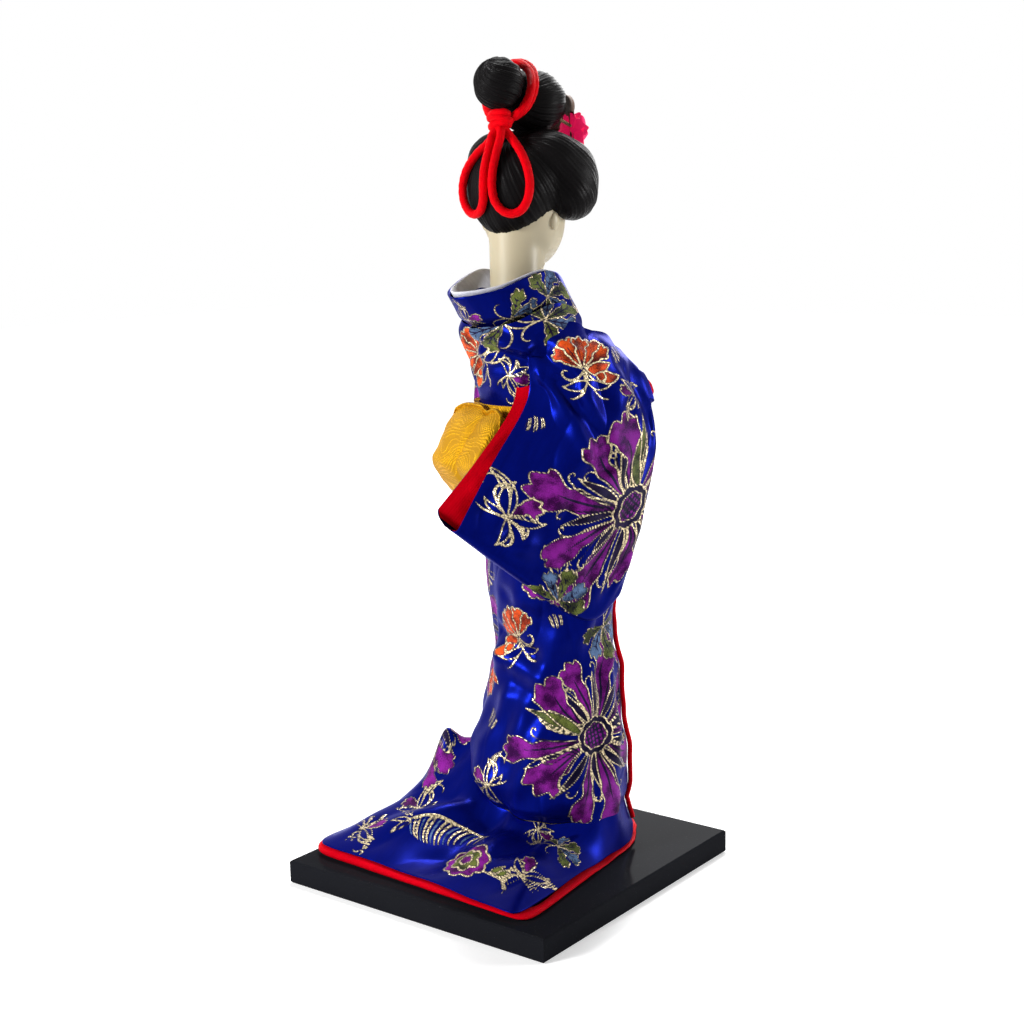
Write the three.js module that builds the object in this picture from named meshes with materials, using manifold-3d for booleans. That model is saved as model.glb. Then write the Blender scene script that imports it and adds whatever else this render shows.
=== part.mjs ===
// A costume doll about 12 inches tall, standing on a square lacquered board.
// Lengths are in millimetres and +Z is up. The origin is the centre of the board's underside.
// The doll looks towards -Y, turned a little to its own right.
// Inside the figure group, x is towards the doll's left, y towards its back, and z counts from the board's top.
import * as THREE from 'three';
import { mergeVertices } from 'three/addons/utils/BufferGeometryUtils.js';
import Module from 'manifold-3d';

const wasm = await Module();
wasm.setup();

// Driving dimensions
const BOARD = { side: 120, thick: 9, bevel: 0.6 };
const STAND = { x: -7, y: -20, turn: -20 };
const GAP = 0.35;
const CLOTH = { silk: 0.8, lining: 0.8, space: 0.45 };
const SCREW = { radius: 1.7, head: 3.2, headDeep: 1.9, length: 24, point: 1.5, spread: 9, recess: 0.2 };

// The robe's outer surface, as half width, half depth and centre at heights above the board.
const FOOT = { h: 16, width: 30, depth: 28.5, y: 3 };
const SHIN = { h: 38, width: 30, depth: 28.3, y: 2.5 };
const CALF = { h: 58, width: 28, depth: 24.6, y: 0.8 };
const KNEE = { h: 81, width: 26, depth: 21.6, y: 0 };
const HIP = { h: 108, width: 27.5, depth: 22.4, y: 0.7 };
const WAIST = { h: 143, width: 24, depth: 19.3, y: 5 };
const RIBS = { h: 171, width: 21.5, depth: 16.4, y: 9 };
const CHEST = { h: 187, width: 22.5, depth: 17, y: 11.3 };
const STATIONS = [FOOT, SHIN, CALF, KNEE, HIP, WAIST, RIBS, CHEST];
const SHOULDER_TURN = { angle: 12, from: 171, to: 212 };
const PADDING = { skirt: 3, chest: 2.6 };

// The trailing hem: how far each straight side lies from the doll's axis, and its bearing on the board.
const HEM = {
  sharpness: 18,
  thick: 3,
  cornerLift: 2.2,
  cornerBearing: 50,
  slope: 13,
  mound: 20,
  moundBearing: 12,
  moundSpread: 40,
  lip: 1.7,
};
const HEM_SIDES = [
  { bearing: 88, reach: 71.5 },
  { bearing: 187, reach: 32.2 },
  { bearing: 218, reach: 30 },
  { bearing: 258, reach: 31 },
  { bearing: 310, reach: 41 },
  { bearing: 356, reach: 60 },
];
const LIFTED_FOLD = { bearing: 18, height: 5, spread: 14, along: 0.27, width: 0.2 };
const SKIRT_FOLDS = { depth: 0.7, count: 5, twist: 0.03 };
const FRONT_EDGE = { angle: 238, radius: 0.9 };

// Collar: the rim's reach from the neck's axis, its heights, and the band's width and thickness.
const COLLAR = { back: 30, side: 17.2, backHeight: 210.5, sideHeight: 219, width: 11, thick: 1.1, flare: 10 };
const UNDER_COLLAR = { thick: 0.8, rise: 1, tall: 6.5 };

const NECK = { radius: 9.6, base: 196, y: 13, flare: 5, flareTall: 6 };
const STICK = { radius: 2.5, inHead: 22, inTorso: 16 };
const HEAD = { turn: 25, chin: 220, crown: 261, width: 15.6, front: 16.4, back: 16, forward: 5.5 };
const NOSE = { rise: 1.7, tall: 4.6, wide: 0.17, h: 235.5 };

const SASH = { bottom: 139.5, top: 171.5, thick: 1.9 };
const KNOT = { half: 17.5, ridge: 43, top: 30, low: 31, highest: 171.5, lowest: 132.5, middle: 151, puff: 2.6 };
const KNOT_HOLLOW = { x: -4, y: 27, radius: 4.4, deep: 3.2 };
const SASH_CORD = { radius: 1.1, h: 154, knot: 2.6 };
const SCARF = { radius: 1.6, rise: 0.7 };

const ARM = { radius: 2.6, room: 0.5 };
const HAND = { length: 13, width: 5.8, thick: 3.2 };
const SLEEVE = { wall: 0.7, lining: 0.6, space: 0.4, fold: 2.2 };

const HAIR = {
  bag: { x: 0, y: 1.5, h: 249, width: 17, depth: 14.5, tall: 16 },
  lock: { x: 15, y: -13, h: 253, width: 10.8, depth: 12, tall: 12.8 },
  front: { x: 0, y: -11, h: 259.5, width: 15.5, depth: 13.5, tall: 9.5 },
  topknot: { x: 0, y: -12, h: 279.5, width: 13, depth: 13, tall: 11.4 },
  bun: { x: 0, y: 9.2, h: 285, width: 9, depth: 8.7, tall: 9.2 },
};
const CORD = { diameter: 3, knot: { x: 0, y: 8.8, h: 272, width: 4.6, depth: 3.4, tall: 4 } };
const COMB = { from: -156, to: -70, low: 265, high: 283, thick: 1.5, waist: 276, off: 2 };
const FLOWER = { x: -12.6, y: -23.6, h: 269.5, radius: 6.6, petals: 6, thick: 1.5, deep: 3, facing: 262, pin: 0.6 };

// How finely the cloth and the round forms are divided.
const AROUND = { skirt: 36, bodice: 24, core: 16, head: 18, cord: 8, trim: 6, hair: 15 };

// Finishes
const silkBlue = cloth(0x0a14a8, 0.35);
const liningRed = cloth(0xc8000c, 0.55);
const sashGold = new THREE.MeshStandardMaterial({ color: 0xc79a1c, roughness: 0.42, metalness: 0.35 });
const cordRed = cloth(0xd8060c, 0.7);
const scarfRed = cloth(0xe02038, 0.6);
const skinWhite = cloth(0xe9e2cf, 0.45);
const hairBlack = cloth(0x0b0a0b, 0.3);
const lacquer = cloth(0x0b0c0e, 0.15);
const collarWhite = cloth(0xdad8e0, 0.4);
const paleWood = cloth(0xc9a878, 0.8);
const strawTan = cloth(0xb89a62, 0.9);
const steel = new THREE.MeshStandardMaterial({ color: 0x9a9da2, roughness: 0.35, metalness: 1 });
const combBrown = cloth(0x5e4d42, 0.3);
const petalPink = cloth(0xee2c6c, 0.6);

/** A finish of one colour that isn't metal. */
function cloth(color, roughness) {
  return new THREE.MeshStandardMaterial({ color, roughness, metalness: 0 });
}

// Small helpers
const V = (x, y, z) => new THREE.Vector3(x, y, z);
const { degToRad, radToDeg, lerp, clamp } = THREE.MathUtils;
const smooth = THREE.MathUtils.smoothstep;
const bell = (x) => Math.exp(-x * x);
const mirrored = (p) => V(-p.x, p.y, p.z);
const turn = (count, j) => (2 * Math.PI * j) / count;
const range = (count) => Array.from({ length: count }, (_, i) => i);

/** The difference of two bearings in degrees, from -180 to 180. */
function bearingGap(a, b) {
  return ((((a - b) % 360) + 540) % 360) - 180;
}

/** A value on a smooth curve through [h, value] pairs, flat at both ends. */
function through(pairs, h) {
  const last = pairs.length - 1;
  const at = clamp(h, pairs[0][0], pairs[last][0]);
  let i = 0;
  while (i < last - 1 && at > pairs[i + 1][0]) i += 1;
  const slope = (k) => {
    if (k === 0 || k === last) return 0;
    return (pairs[k + 1][1] - pairs[k - 1][1]) / (pairs[k + 1][0] - pairs[k - 1][0]);
  };
  const span = pairs[i + 1][0] - pairs[i][0];
  const t = (at - pairs[i][0]) / span;
  const a = 2 * t ** 3 - 3 * t ** 2 + 1;
  const b = t ** 3 - 2 * t ** 2 + t;
  const c = t ** 3 - t ** 2;
  return a * pairs[i][1] + b * span * slope(i) + (1 - a) * pairs[i + 1][1] + c * span * slope(i + 1);
}

/** The robe's half width, half depth and centre at height h. */
function bodyAt(h) {
  return {
    width: through(STATIONS.map((s) => [s.h, s.width]), h),
    depth: through(STATIONS.map((s) => [s.h, s.depth]), h),
    y: through(STATIONS.map((s) => [s.h, s.y]), h),
  };
}

/** A point at an angle round the robe at height h, a distance outside its surface. */
function bodyPoint(angle, h, outside) {
  const body = bodyAt(h);
  return V((body.width + outside) * Math.cos(angle), (body.depth + outside) * Math.sin(angle) + body.y, h);
}

/** A point turned about the neck's axis, as the shoulders are turned from the hips. */
function twisted(point) {
  const share = smooth(point.z, SHOULDER_TURN.from, SHOULDER_TURN.to);
  const axis = V(0, NECK.y, 0);
  return point.sub(axis).applyAxisAngle(V(0, 0, 1), degToRad(SHOULDER_TURN.angle * share)).add(axis);
}

/** A point of a curve through points, carried on straight past its ends. */
function along(points, t) {
  const curve = new THREE.CatmullRomCurve3(points);
  const inside = clamp(t, 0, 1);
  const point = curve.getPoint(inside);
  if (inside === t) return point;
  const step = 0.02;
  const next = curve.getPoint(inside === 0 ? step : 1 - step);
  return point.addScaledVector(next.sub(point), -Math.abs(t - inside) / step);
}

/** A point of the smooth surface through rows of points: u runs along a row, v from row to row. */
function onNet(rows, u, v) {
  return along(rows.map((row) => along(row, u)), v);
}

// Closed meshes
/** A geometry from points and triangles, with its faces turned outwards. */
function fromPoints(points, triangles) {
  const geometry = new THREE.BufferGeometry();
  geometry.setAttribute('position', new THREE.Float32BufferAttribute(points.flatMap((p) => [p.x, p.y, p.z]), 3));
  const middle = points.reduce((sum, p) => sum.add(p), V(0, 0, 0)).divideScalar(points.length);
  const from = (k) => points[k].clone().sub(middle);
  const volume = triangles.reduce((sum, [a, b, c]) => sum + from(a).dot(from(b).cross(from(c))), 0);
  geometry.setIndex(triangles.flatMap(([a, b, c]) => (volume > 0 ? [a, b, c] : [a, c, b])));
  geometry.computeVertexNormals();
  return geometry;
}

/** Triangles between two rings of points, given the number at which each starts. */
function joinPair(from, to, size) {
  return range(size).flatMap((j) => {
    const k = (j + 1) % size;
    return [[from + j, to + j, to + k], [from + j, to + k, from + k]];
  });
}

/** Triangles that join each ring of a stack to the next. */
function joinRings(count, size) {
  return range(count - 1).flatMap((i) => joinPair(i * size, (i + 1) * size, size));
}

/** A closed solid through a stack of rings, with a fan of triangles over each end. */
function stack(rings) {
  const size = rings[0].length;
  const points = rings.flat();
  const triangles = joinRings(rings.length, size);
  for (const [ring, start] of [[rings[0], 0], [rings.at(-1), points.length - size]]) {
    const tip = points.push(ring.reduce((sum, p) => sum.add(p), V(0, 0, 0)).divideScalar(size)) - 1;
    for (let j = 0; j < size; j += 1) {
      const k = (j + 1) % size;
      triangles.push(start === 0 ? [tip, start + j, start + k] : [tip, start + k, start + j]);
    }
  }
  return fromPoints(points, triangles);
}

/** A tube-like shell with open ends, between outer rings and inner rings that follow them. */
function shell(outer, inner) {
  const size = outer[0].length;
  const start = outer.length * size;
  const ends = [(outer.length - 1) * size, start + (inner.length - 1) * size];
  const within = joinRings(inner.length, size).map(([a, b, c]) => [start + a, start + c, start + b]);
  const rims = [...joinPair(start, 0, size), ...joinPair(ends[0], ends[1], size)];
  return fromPoints([...outer, ...inner].flat(), [...joinRings(outer.length, size), ...within, ...rims]);
}

/** The closed solid between two grids of points of the same size, each a list of rows. */
function between(front, back) {
  const rows = front.length;
  const columns = front[0].length;
  const points = [...front.flat(), ...back.flat()];
  const offset = rows * columns;
  const triangles = [];
  const quad = (a, b, c, d) => triangles.push([a, b, c], [a, c, d]);
  for (let i = 0; i < rows - 1; i += 1) {
    for (let j = 0; j < columns - 1; j += 1) {
      const at = i * columns + j;
      quad(at, at + 1, at + columns + 1, at + columns);
      quad(offset + at, offset + at + columns, offset + at + columns + 1, offset + at + 1);
    }
  }
  const last = (rows - 1) * columns;
  for (let j = 0; j < columns - 1; j += 1) {
    quad(j + 1, j, offset + j, offset + j + 1);
    quad(last + j, last + j + 1, offset + last + j + 1, offset + last + j);
  }
  for (let i = 0; i < rows - 1; i += 1) {
    const left = i * columns;
    const right = left + columns - 1;
    quad(left, left + columns, offset + left + columns, offset + left);
    quad(right + columns, right, offset + right, offset + right + columns);
  }
  return fromPoints(points, triangles);
}

/** Rings moved inwards by a distance along the surface's normals. */
function inset(rings, distance) {
  const size = rings[0].length;
  return rings.map((ring, i) => ring.map((point, j) => {
    const down = V(0, 0, 0).subVectors(rings[Math.min(i + 1, rings.length - 1)][j], rings[Math.max(i - 1, 0)][j]);
    const round = V(0, 0, 0).subVectors(ring[(j + 1) % size], ring[(j + size - 1) % size]);
    return point.clone().addScaledVector(round.cross(down).normalize(), distance);
  }));
}

/** A round bar along a smooth curve through points. */
function bar(points, radius, sides, steps) {
  const circle = new THREE.Shape(range(sides).map((j) => {
    return new THREE.Vector2(radius * Math.cos(turn(sides, j)), radius * Math.sin(turn(sides, j)));
  }));
  const path = new THREE.CatmullRomCurve3(points, false, 'centripetal');
  return new THREE.ExtrudeGeometry(circle, { steps, extrudePath: path, bevelEnabled: false });
}

/** A ball stretched to three half sizes, a distance larger than its size says. */
function ball(size, grow, around, down) {
  const geometry = new THREE.SphereGeometry(1, around, down);
  geometry.rotateX(Math.PI / 2);
  geometry.scale(size.width + grow, size.depth + grow, size.tall + grow);
  geometry.translate(size.x, size.y, size.h);
  return geometry;
}

// Cutting and joining
/** A geometry as a solid that can be cut. */
function solid(geometry) {
  const bare = geometry.clone();
  bare.deleteAttribute('normal');
  bare.deleteAttribute('uv');
  const merged = mergeVertices(bare, 1e-4);
  const index = merged.getIndex().array;
  const triangles = [];
  for (let i = 0; i < index.length; i += 3) {
    const [a, b, c] = index.slice(i, i + 3);
    if (a !== b && b !== c && c !== a) triangles.push(a, b, c);
  }
  return new wasm.Manifold(new wasm.Mesh({
    numProp: 3,
    vertProperties: new Float32Array(merged.getAttribute('position').array),
    triVerts: new Uint32Array(triangles),
  }));
}

/** The largest body of a cut solid, as a geometry. */
function geometryOf(body) {
  const mesh = body.decompose().sort((a, b) => b.volume() - a.volume())[0].getMesh();
  const geometry = new THREE.BufferGeometry();
  geometry.setAttribute('position', new THREE.Float32BufferAttribute(mesh.vertProperties, 3));
  geometry.setIndex([...mesh.triVerts]);
  geometry.computeVertexNormals();
  return geometry;
}

/** A geometry with others cut away from it. */
function without(geometry, cutters) {
  return geometryOf(cutters.reduce((left, cutter) => left.subtract(solid(cutter)), solid(geometry)));
}

/** Several geometries joined into one body. */
function joined(geometries) {
  return geometryOf(geometries.slice(1).reduce((sum, next) => sum.add(solid(next)), solid(geometries[0])));
}

/** Adds a named piece to a group. */
function piece(group, name, geometry, material) {
  const mesh = new THREE.Mesh(geometry, material);
  mesh.name = name;
  group.add(mesh);
}

// The scene graph: the figure stands on the board, and the head turns on the figure's neck.
const doll = new THREE.Group();
const figure = new THREE.Group();
figure.position.set(STAND.x, STAND.y, BOARD.thick);
figure.rotation.z = degToRad(STAND.turn);
doll.add(figure);
const head = new THREE.Group();
head.position.set(0, NECK.y, 0);
head.rotation.z = degToRad(HEAD.turn);
figure.add(head);

// Board and screws
/** The board: a square slab with a small bevel on every edge. */
function boardShape() {
  const half = BOARD.side / 2 - BOARD.bevel;
  const corners = [[-half, -half], [half, -half], [half, half], [-half, half]];
  const slab = new THREE.ExtrudeGeometry(new THREE.Shape(corners.map(([x, y]) => new THREE.Vector2(x, y))), {
    depth: BOARD.thick - 2 * BOARD.bevel,
    bevelThickness: BOARD.bevel,
    bevelSize: BOARD.bevel,
    bevelSegments: 1,
  });
  slab.translate(0, 0, BOARD.bevel);
  return slab;
}

/** A countersunk wood screw that points up from the board's underside, or the hole that it needs. */
function screwShape(x, clearance) {
  const sunk = clearance > 0 ? -1 : SCREW.recess;
  const profile = [
    new THREE.Vector2(0, sunk),
    new THREE.Vector2(SCREW.head + clearance, sunk),
    new THREE.Vector2(SCREW.head + clearance, SCREW.recess + 0.3),
    new THREE.Vector2(SCREW.radius + clearance, SCREW.recess + 0.3 + SCREW.headDeep),
    new THREE.Vector2(SCREW.radius + clearance, SCREW.length + clearance),
    new THREE.Vector2(0, SCREW.length + SCREW.point + clearance),
  ];
  const geometry = new THREE.LatheGeometry(profile, 12);
  geometry.rotateX(Math.PI / 2);
  geometry.translate(x, 0, -BOARD.thick);
  return geometry;
}

const screws = { left: SCREW.spread, right: -SCREW.spread };
const boardHoles = Object.values(screws).map((x) => {
  const hole = screwShape(x, GAP);
  hole.rotateZ(figure.rotation.z);
  hole.translate(...figure.position.toArray());
  return hole;
});
piece(doll, 'board', without(boardShape(), boardHoles), lacquer);
for (const [side, x] of Object.entries(screws)) {
  piece(figure, `board_screw_${side}`, screwShape(x, 0), steel);
}

// Cores and neck stick
const layers = CLOTH.silk + CLOTH.lining + 2 * CLOTH.space;
const coreJoin = WAIST.h + 4;

/** A padded core that keeps a margin inside the robe, from one height to another. */
function coreShape(from, to, margin, levels) {
  return stack(range(levels + 1).map((i) => {
    const h = lerp(from, to, i / levels);
    return range(AROUND.core).map((j) => twisted(bodyPoint(turn(AROUND.core, j), h, -margin)));
  }));
}

/** The neck stick, grown by a clearance. */
function stickShape(clearance) {
  const length = STICK.inHead + STICK.inTorso + 2 * clearance;
  const geometry = new THREE.CylinderGeometry(STICK.radius + clearance, STICK.radius + clearance, length, 16);
  geometry.rotateX(Math.PI / 2);
  geometry.translate(0, 0, NECK.base - STICK.inTorso - clearance + length / 2);
  return geometry;
}

// Arms: each runs from inside the chest, down through the sleeve, and forward to the wrist.
const ARM_PATHS = {
  right: [V(-9, 12, 186), V(-18, 11, 186), V(-25, 4, 184), V(-26, -8, 182), V(-20, -20, 180), V(-13, -25, 179)],
  left: [V(9, 13, 186), V(18, 14, 186), V(26, 7, 185), V(28, -6, 184), V(24, -19, 185), V(17, -26, 186)],
};
const armShape = (side, grow) => bar(ARM_PATHS[side], ARM.radius + grow, 8, 14);
const armHoles = ['right', 'left'].map((side) => armShape(side, GAP));

const screwHoles = Object.values(screws).map((x) => screwShape(x, GAP));
const skirtCore = coreShape(GAP, coreJoin, layers + SKIRT_FOLDS.depth + PADDING.skirt, 8);
piece(figure, 'skirt_core', without(skirtCore, screwHoles), strawTan);
const stickHole = stickShape(GAP).translate(0, NECK.y, 0);
const torsoCore = coreShape(coreJoin + GAP, NECK.base - GAP, layers + PADDING.chest, 6);
piece(figure, 'torso_core', without(torsoCore, [stickHole, ...armHoles]), strawTan);

/** A mitten-shaped hand with its thumb apart, from the wrist onwards along a direction. */
function handShape(wrist, toward) {
  const sections = [[0, 0.42, 0.7], [0.2, 0.66, 0.85], [0.45, 0.95, 1], [0.66, 0.9, 0.75], [0.88, 0.62, 0.5], [1, 0.3, 0.3]];
  const palm = stack(sections.map(([share, wide, deep]) => range(10).map((j) => V(
    share * HAND.length,
    (HAND.thick / 2) * deep * Math.sin(turn(10, j)),
    (HAND.width / 2) * wide * Math.cos(turn(10, j)),
  ))));
  const thumbSize = { x: HAND.length * 0.42, y: 0, h: HAND.width * 0.52, width: 3, depth: 0.95, tall: 1 };
  const geometry = joined([palm, ball(thumbSize, 0, 8, 6)]);
  geometry.applyQuaternion(new THREE.Quaternion().setFromUnitVectors(V(1, 0, 0), toward));
  const start = wrist.clone().addScaledVector(toward, GAP);
  return geometry.translate(start.x, start.y, start.z);
}

for (const [side, path] of Object.entries(ARM_PATHS)) {
  piece(figure, `${side}_arm`, armShape(side, 0), collarWhite);
  const toward = V(0, 0, 0).subVectors(path.at(-1), path.at(-2)).normalize();
  piece(figure, `${side}_hand`, handShape(path.at(-1), toward), skinWhite);
}

// Collar. The band runs from its hidden end at the doll's right, round the neck, and over it from the left.
const rimBack = NECK.y + COLLAR.back;
const frontY = (h, outside) => bodyPoint(-Math.PI / 2, h, outside).y;
const sashTop = SASH.top + GAP;

/** One side of the band from the nape to the chest, as pairs of a rim point and a lower edge point. */
const COLLAR_SIDE = [
  [V(0, rimBack, COLLAR.backHeight), V(0, rimBack - COLLAR.flare, COLLAR.backHeight - COLLAR.width)],
  [V(12.5, rimBack - 9, COLLAR.backHeight + 2.5), V(13.5, rimBack - 15, COLLAR.backHeight - COLLAR.width + 2)],
  [V(COLLAR.side, NECK.y + 2, COLLAR.sideHeight), V(COLLAR.side + 3.5, NECK.y + 1, COLLAR.sideHeight - COLLAR.width)],
  [V(COLLAR.side - 4, 1.5, COLLAR.sideHeight - 6), V(COLLAR.side + 2, -1, COLLAR.sideHeight - COLLAR.width - 6)],
  [V(6.5, frontY(199, 0) - 0.4, 199), V(14, frontY(187, 0) + 0.4, 187)],
];
const underEnd = [V(-2.5, frontY(184, 0.2), 184), V(4, frontY(sashTop + 1, 0.5), sashTop + 1)];
const overEnds = [
  [V(-0.5, frontY(186, 2.2), 186), V(8, frontY(177, 1.8), 177)],
  [V(-5.6, frontY(sashTop + 3, 2.6), sashTop + 3), V(2, frontY(sashTop + 0.5, 2.6), sashTop + 0.5)],
];
const COLLAR_RUN = [
  underEnd.map(mirrored),
  ...COLLAR_SIDE.slice(1).toReversed().map((pair) => pair.map(mirrored)),
  ...COLLAR_SIDE,
  ...overEnds,
];

/** A point of the collar band: s runs along the band, w from its lower edge to its rim. */
function collarPoint(s, w) {
  const rim = along(COLLAR_RUN.map((pair) => pair[0]), s);
  return twisted(along(COLLAR_RUN.map((pair) => pair[1]), s).lerp(rim, w));
}

/** A collar band between two heights of its width, moved inwards, from one end of its run to another. */
function bandShape(low, high, inward, thick, from, to) {
  const faces = [inward - thick / 2, inward + thick / 2].map((depth) => [low, (low + high) / 2, high].map((w) => {
    return range(27).map((j) => {
      const s = lerp(from, to, j / 26);
      const step = 0.004;
      const run = V(0, 0, 0).subVectors(collarPoint(s + step, w), collarPoint(s - step, w));
      const rise = V(0, 0, 0).subVectors(collarPoint(s, 1), collarPoint(s, 0));
      return collarPoint(s, w).addScaledVector(run.cross(rise).normalize(), depth);
    });
  }));
  return between(faces[0], faces[1]);
}

const bandFoot = GAP / COLLAR.width;
const collarBand = bandShape(bandFoot, 1, 0, COLLAR.thick, 0, 1);
const underInset = (COLLAR.thick + UNDER_COLLAR.thick) / 2 + 1.8 * GAP;
const underTop = 1 + UNDER_COLLAR.rise / COLLAR.width;
const underLow = underTop - UNDER_COLLAR.tall / COLLAR.width;
piece(figure, 'collar', collarBand, silkBlue);
const collarRoom = bandShape(0, 1 + bandFoot, 0, COLLAR.thick + 2 * GAP, -0.004, 1.004);
piece(figure, 'under_collar', bandShape(underLow, underTop, underInset, UNDER_COLLAR.thick, 0.1, 0.82), collarWhite);

// Bodice
const NECKLINE = [...COLLAR_SIDE.map((pair) => pair[1]), V(8, frontY(177, 0), 177), V(0, frontY(SASH.top, 0), SASH.top + 1.6)];

/** Rings of the bodice's surface, from the waist up to the neckline, moved by a distance. */
function bodiceRings(outside) {
  const rows = 8;
  return range(rows).map((i) => range(AROUND.bodice).map((j) => {
    const angle = turn(AROUND.bodice, j) + Math.PI / 2;
    const share = Math.abs(bearingGap(radToDeg(angle), 90)) / 180;
    const edge = along(NECKLINE, share);
    if (Math.cos(angle) < 0) edge.x *= -1;
    const level = i / (rows - 1);
    const joinLevel = 0.6;
    const joinHeight = Math.min(CHEST.h, (edge.z + SASH.top) / 2);
    const h = lerp(WAIST.h, joinHeight, Math.min(level / joinLevel, 1));
    const low = bodyPoint(angle, h, outside);
    if (level <= joinLevel) return twisted(low);
    const rise = (level - joinLevel) / (1 - joinLevel);
    const bulge = 1.7 * Math.sin(Math.PI * rise) * smooth(edge.z, SASH.top, CHEST.h) + outside * rise;
    return twisted(low.lerp(edge, rise).add(V(bulge * Math.cos(angle), bulge * Math.sin(angle), 0)));
  }));
}

/** The whole space inside the bodice, grown by a clearance. */
const bodiceSpace = (clearance) => stack(bodiceRings(clearance));
const bodice = shell(bodiceRings(0), bodiceRings(-CLOTH.silk - CLOTH.lining));
piece(figure, 'kimono_bodice', without(bodice, [...armHoles, collarRoom]), silkBlue);

// Sash and its knot
/** Rings round the body between two heights, a distance outside the robe. */
function beltRings(low, high, outside, levels) {
  return range(levels + 1).map((i) => {
    const h = lerp(low, high, i / levels);
    return range(AROUND.skirt).map((j) => bodyPoint(turn(AROUND.skirt, j), h, outside));
  });
}

const sashInside = GAP + 0.15;
const sashOutside = sashInside + SASH.thick;
piece(figure, 'sash_band', shell(
  beltRings(SASH.bottom, SASH.top, sashOutside, 1),
  beltRings(SASH.bottom, SASH.top, sashInside, 1),
), sashGold);

/** The knot at the back: a folded pad with a ridge, drawn in at both ends. */
function knotShape(clearance) {
  const inner = frontY(KNOT.middle, 0) * -1 + 2 * bodyAt(KNOT.middle).y;
  const section = [
    [inner, KNOT.highest - 3],
    [inner + 4, KNOT.highest],
    [KNOT.top, KNOT.highest],
    [(KNOT.top + KNOT.ridge) / 2 + 1, (KNOT.highest + KNOT.middle) / 2 + 2.5],
    [KNOT.ridge, KNOT.middle],
    [(KNOT.low + KNOT.ridge) / 2 + 1, (KNOT.lowest + KNOT.middle) / 2 - 1.5],
    [KNOT.low, KNOT.lowest],
    [inner, KNOT.lowest + 3],
  ];
  const stations = [[-1, 0.8], [-0.86, 0.93], [-0.5, 0.99], [0, 1], [0.5, 0.99], [0.86, 0.93], [1, 0.8]];
  const middle = V(0, (inner + KNOT.ridge) / 2, KNOT.middle);
  return stack(stations.map(([share, size]) => section.map(([y, h]) => V(
    share * (KNOT.half + clearance),
    middle.y + (y - middle.y) * size + Math.sign(y - middle.y) * clearance,
    middle.z + (h - middle.z) * size + Math.sign(h - middle.z) * clearance,
  ))));
}

const hollow = { x: KNOT_HOLLOW.x, y: KNOT_HOLLOW.y, h: KNOT.highest };
const hollowSize = { ...hollow, width: KNOT_HOLLOW.radius, depth: KNOT_HOLLOW.radius, tall: KNOT_HOLLOW.deep };
const behindSash = stack(beltRings(KNOT.lowest - 6, KNOT.highest + 8, sashOutside + GAP, 4));
const bodiceRoom = bodiceSpace(GAP);
piece(figure, 'sash_knot', without(knotShape(0), [behindSash, bodiceRoom, ball(hollowSize, 0, 10, 6)]), sashGold);

/** A cord round the body at height h, from one side of the knot to the other across the front. */
function beltCord(h, radius, outside, from, to) {
  const points = range(17).map((j) => bodyPoint(degToRad(lerp(from, to, j / 16)), h, outside + radius + GAP));
  return bar(points, radius, AROUND.trim, 20);
}

const knotRoom = knotShape(GAP);
const tieDepth = SASH_CORD.knot * 0.7;
const cordTie = { x: 0, y: frontY(SASH_CORD.h, sashOutside + tieDepth + GAP), h: SASH_CORD.h };
const tieSize = { ...cordTie, width: SASH_CORD.knot * 1.3, depth: tieDepth, tall: SASH_CORD.knot };
const beltCordBody = beltCord(SASH_CORD.h, SASH_CORD.radius, sashOutside, 127, 413);
const sashRoom = stack(beltRings(SASH.bottom, SASH.top, sashOutside + GAP, 1));
piece(figure, 'sash_cord', without(joined([beltCordBody, ball(tieSize, 0, 8, 6)]), [knotRoom]), cordRed);
const scarf = beltCord(SASH.top + SCARF.radius + SCARF.rise, SCARF.radius, 0, 205, 335);
piece(figure, 'sash_scarf', without(scarf, [collarRoom]), scarfRed);

// Skirt, lining and front edge
/** How far the hem reaches from the doll's axis at a bearing on the board. */
function hemReach(bearing) {
  const shares = HEM_SIDES.map((side) => Math.max(Math.cos(degToRad(bearing - side.bearing)) / side.reach, 0));
  return shares.reduce((sum, share) => sum + share ** HEM.sharpness, 0) ** (-1 / HEM.sharpness);
}

/** The height of the silk's hem at a bearing. */
function hemHeight(bearing) {
  return HEM.thick + HEM.cornerLift * bell(bearingGap(bearing, HEM.cornerBearing) / 38);
}

/** A point of the skirt's surface. Down runs from 0 at the waist, through 1 at the floor's fold, to 2 at the hem. */
function skirtPoint(angle, down) {
  const bearing = radToDeg(angle) + STAND.turn;
  const mound = bell(bearingGap(bearing, HEM.moundBearing) / HEM.moundSpread);
  const low = hemHeight(bearing);
  const rise = HEM.slope + HEM.mound * mound;
  const h = lerp(WAIST.h - GAP, low + rise, Math.min(down, 1));
  const ripple = smooth(down, 0.25, 0.8) * Math.cos(SKIRT_FOLDS.count * (angle + SKIRT_FOLDS.twist * (h - KNEE.h)));
  const column = bodyPoint(angle, h, SKIRT_FOLDS.depth * ripple);
  if (down <= 1) return column;
  const from = Math.hypot(column.x, column.y);
  const reach = Math.max(hemReach(bearing), from + 0.4);
  const w = (down - 1) ** 0.7;
  const r = lerp(from, reach, w ** (1.2 - 0.62 * mound));
  const lift = LIFTED_FOLD.height * bell(bearingGap(bearing, LIFTED_FOLD.bearing) / LIFTED_FOLD.spread)
    * bell((w - LIFTED_FOLD.along) / LIFTED_FOLD.width);
  const heading = Math.atan2(column.y, column.x);
  return V(r * Math.cos(heading), r * Math.sin(heading), low + rise * (1 - w) + lift);
}

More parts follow.
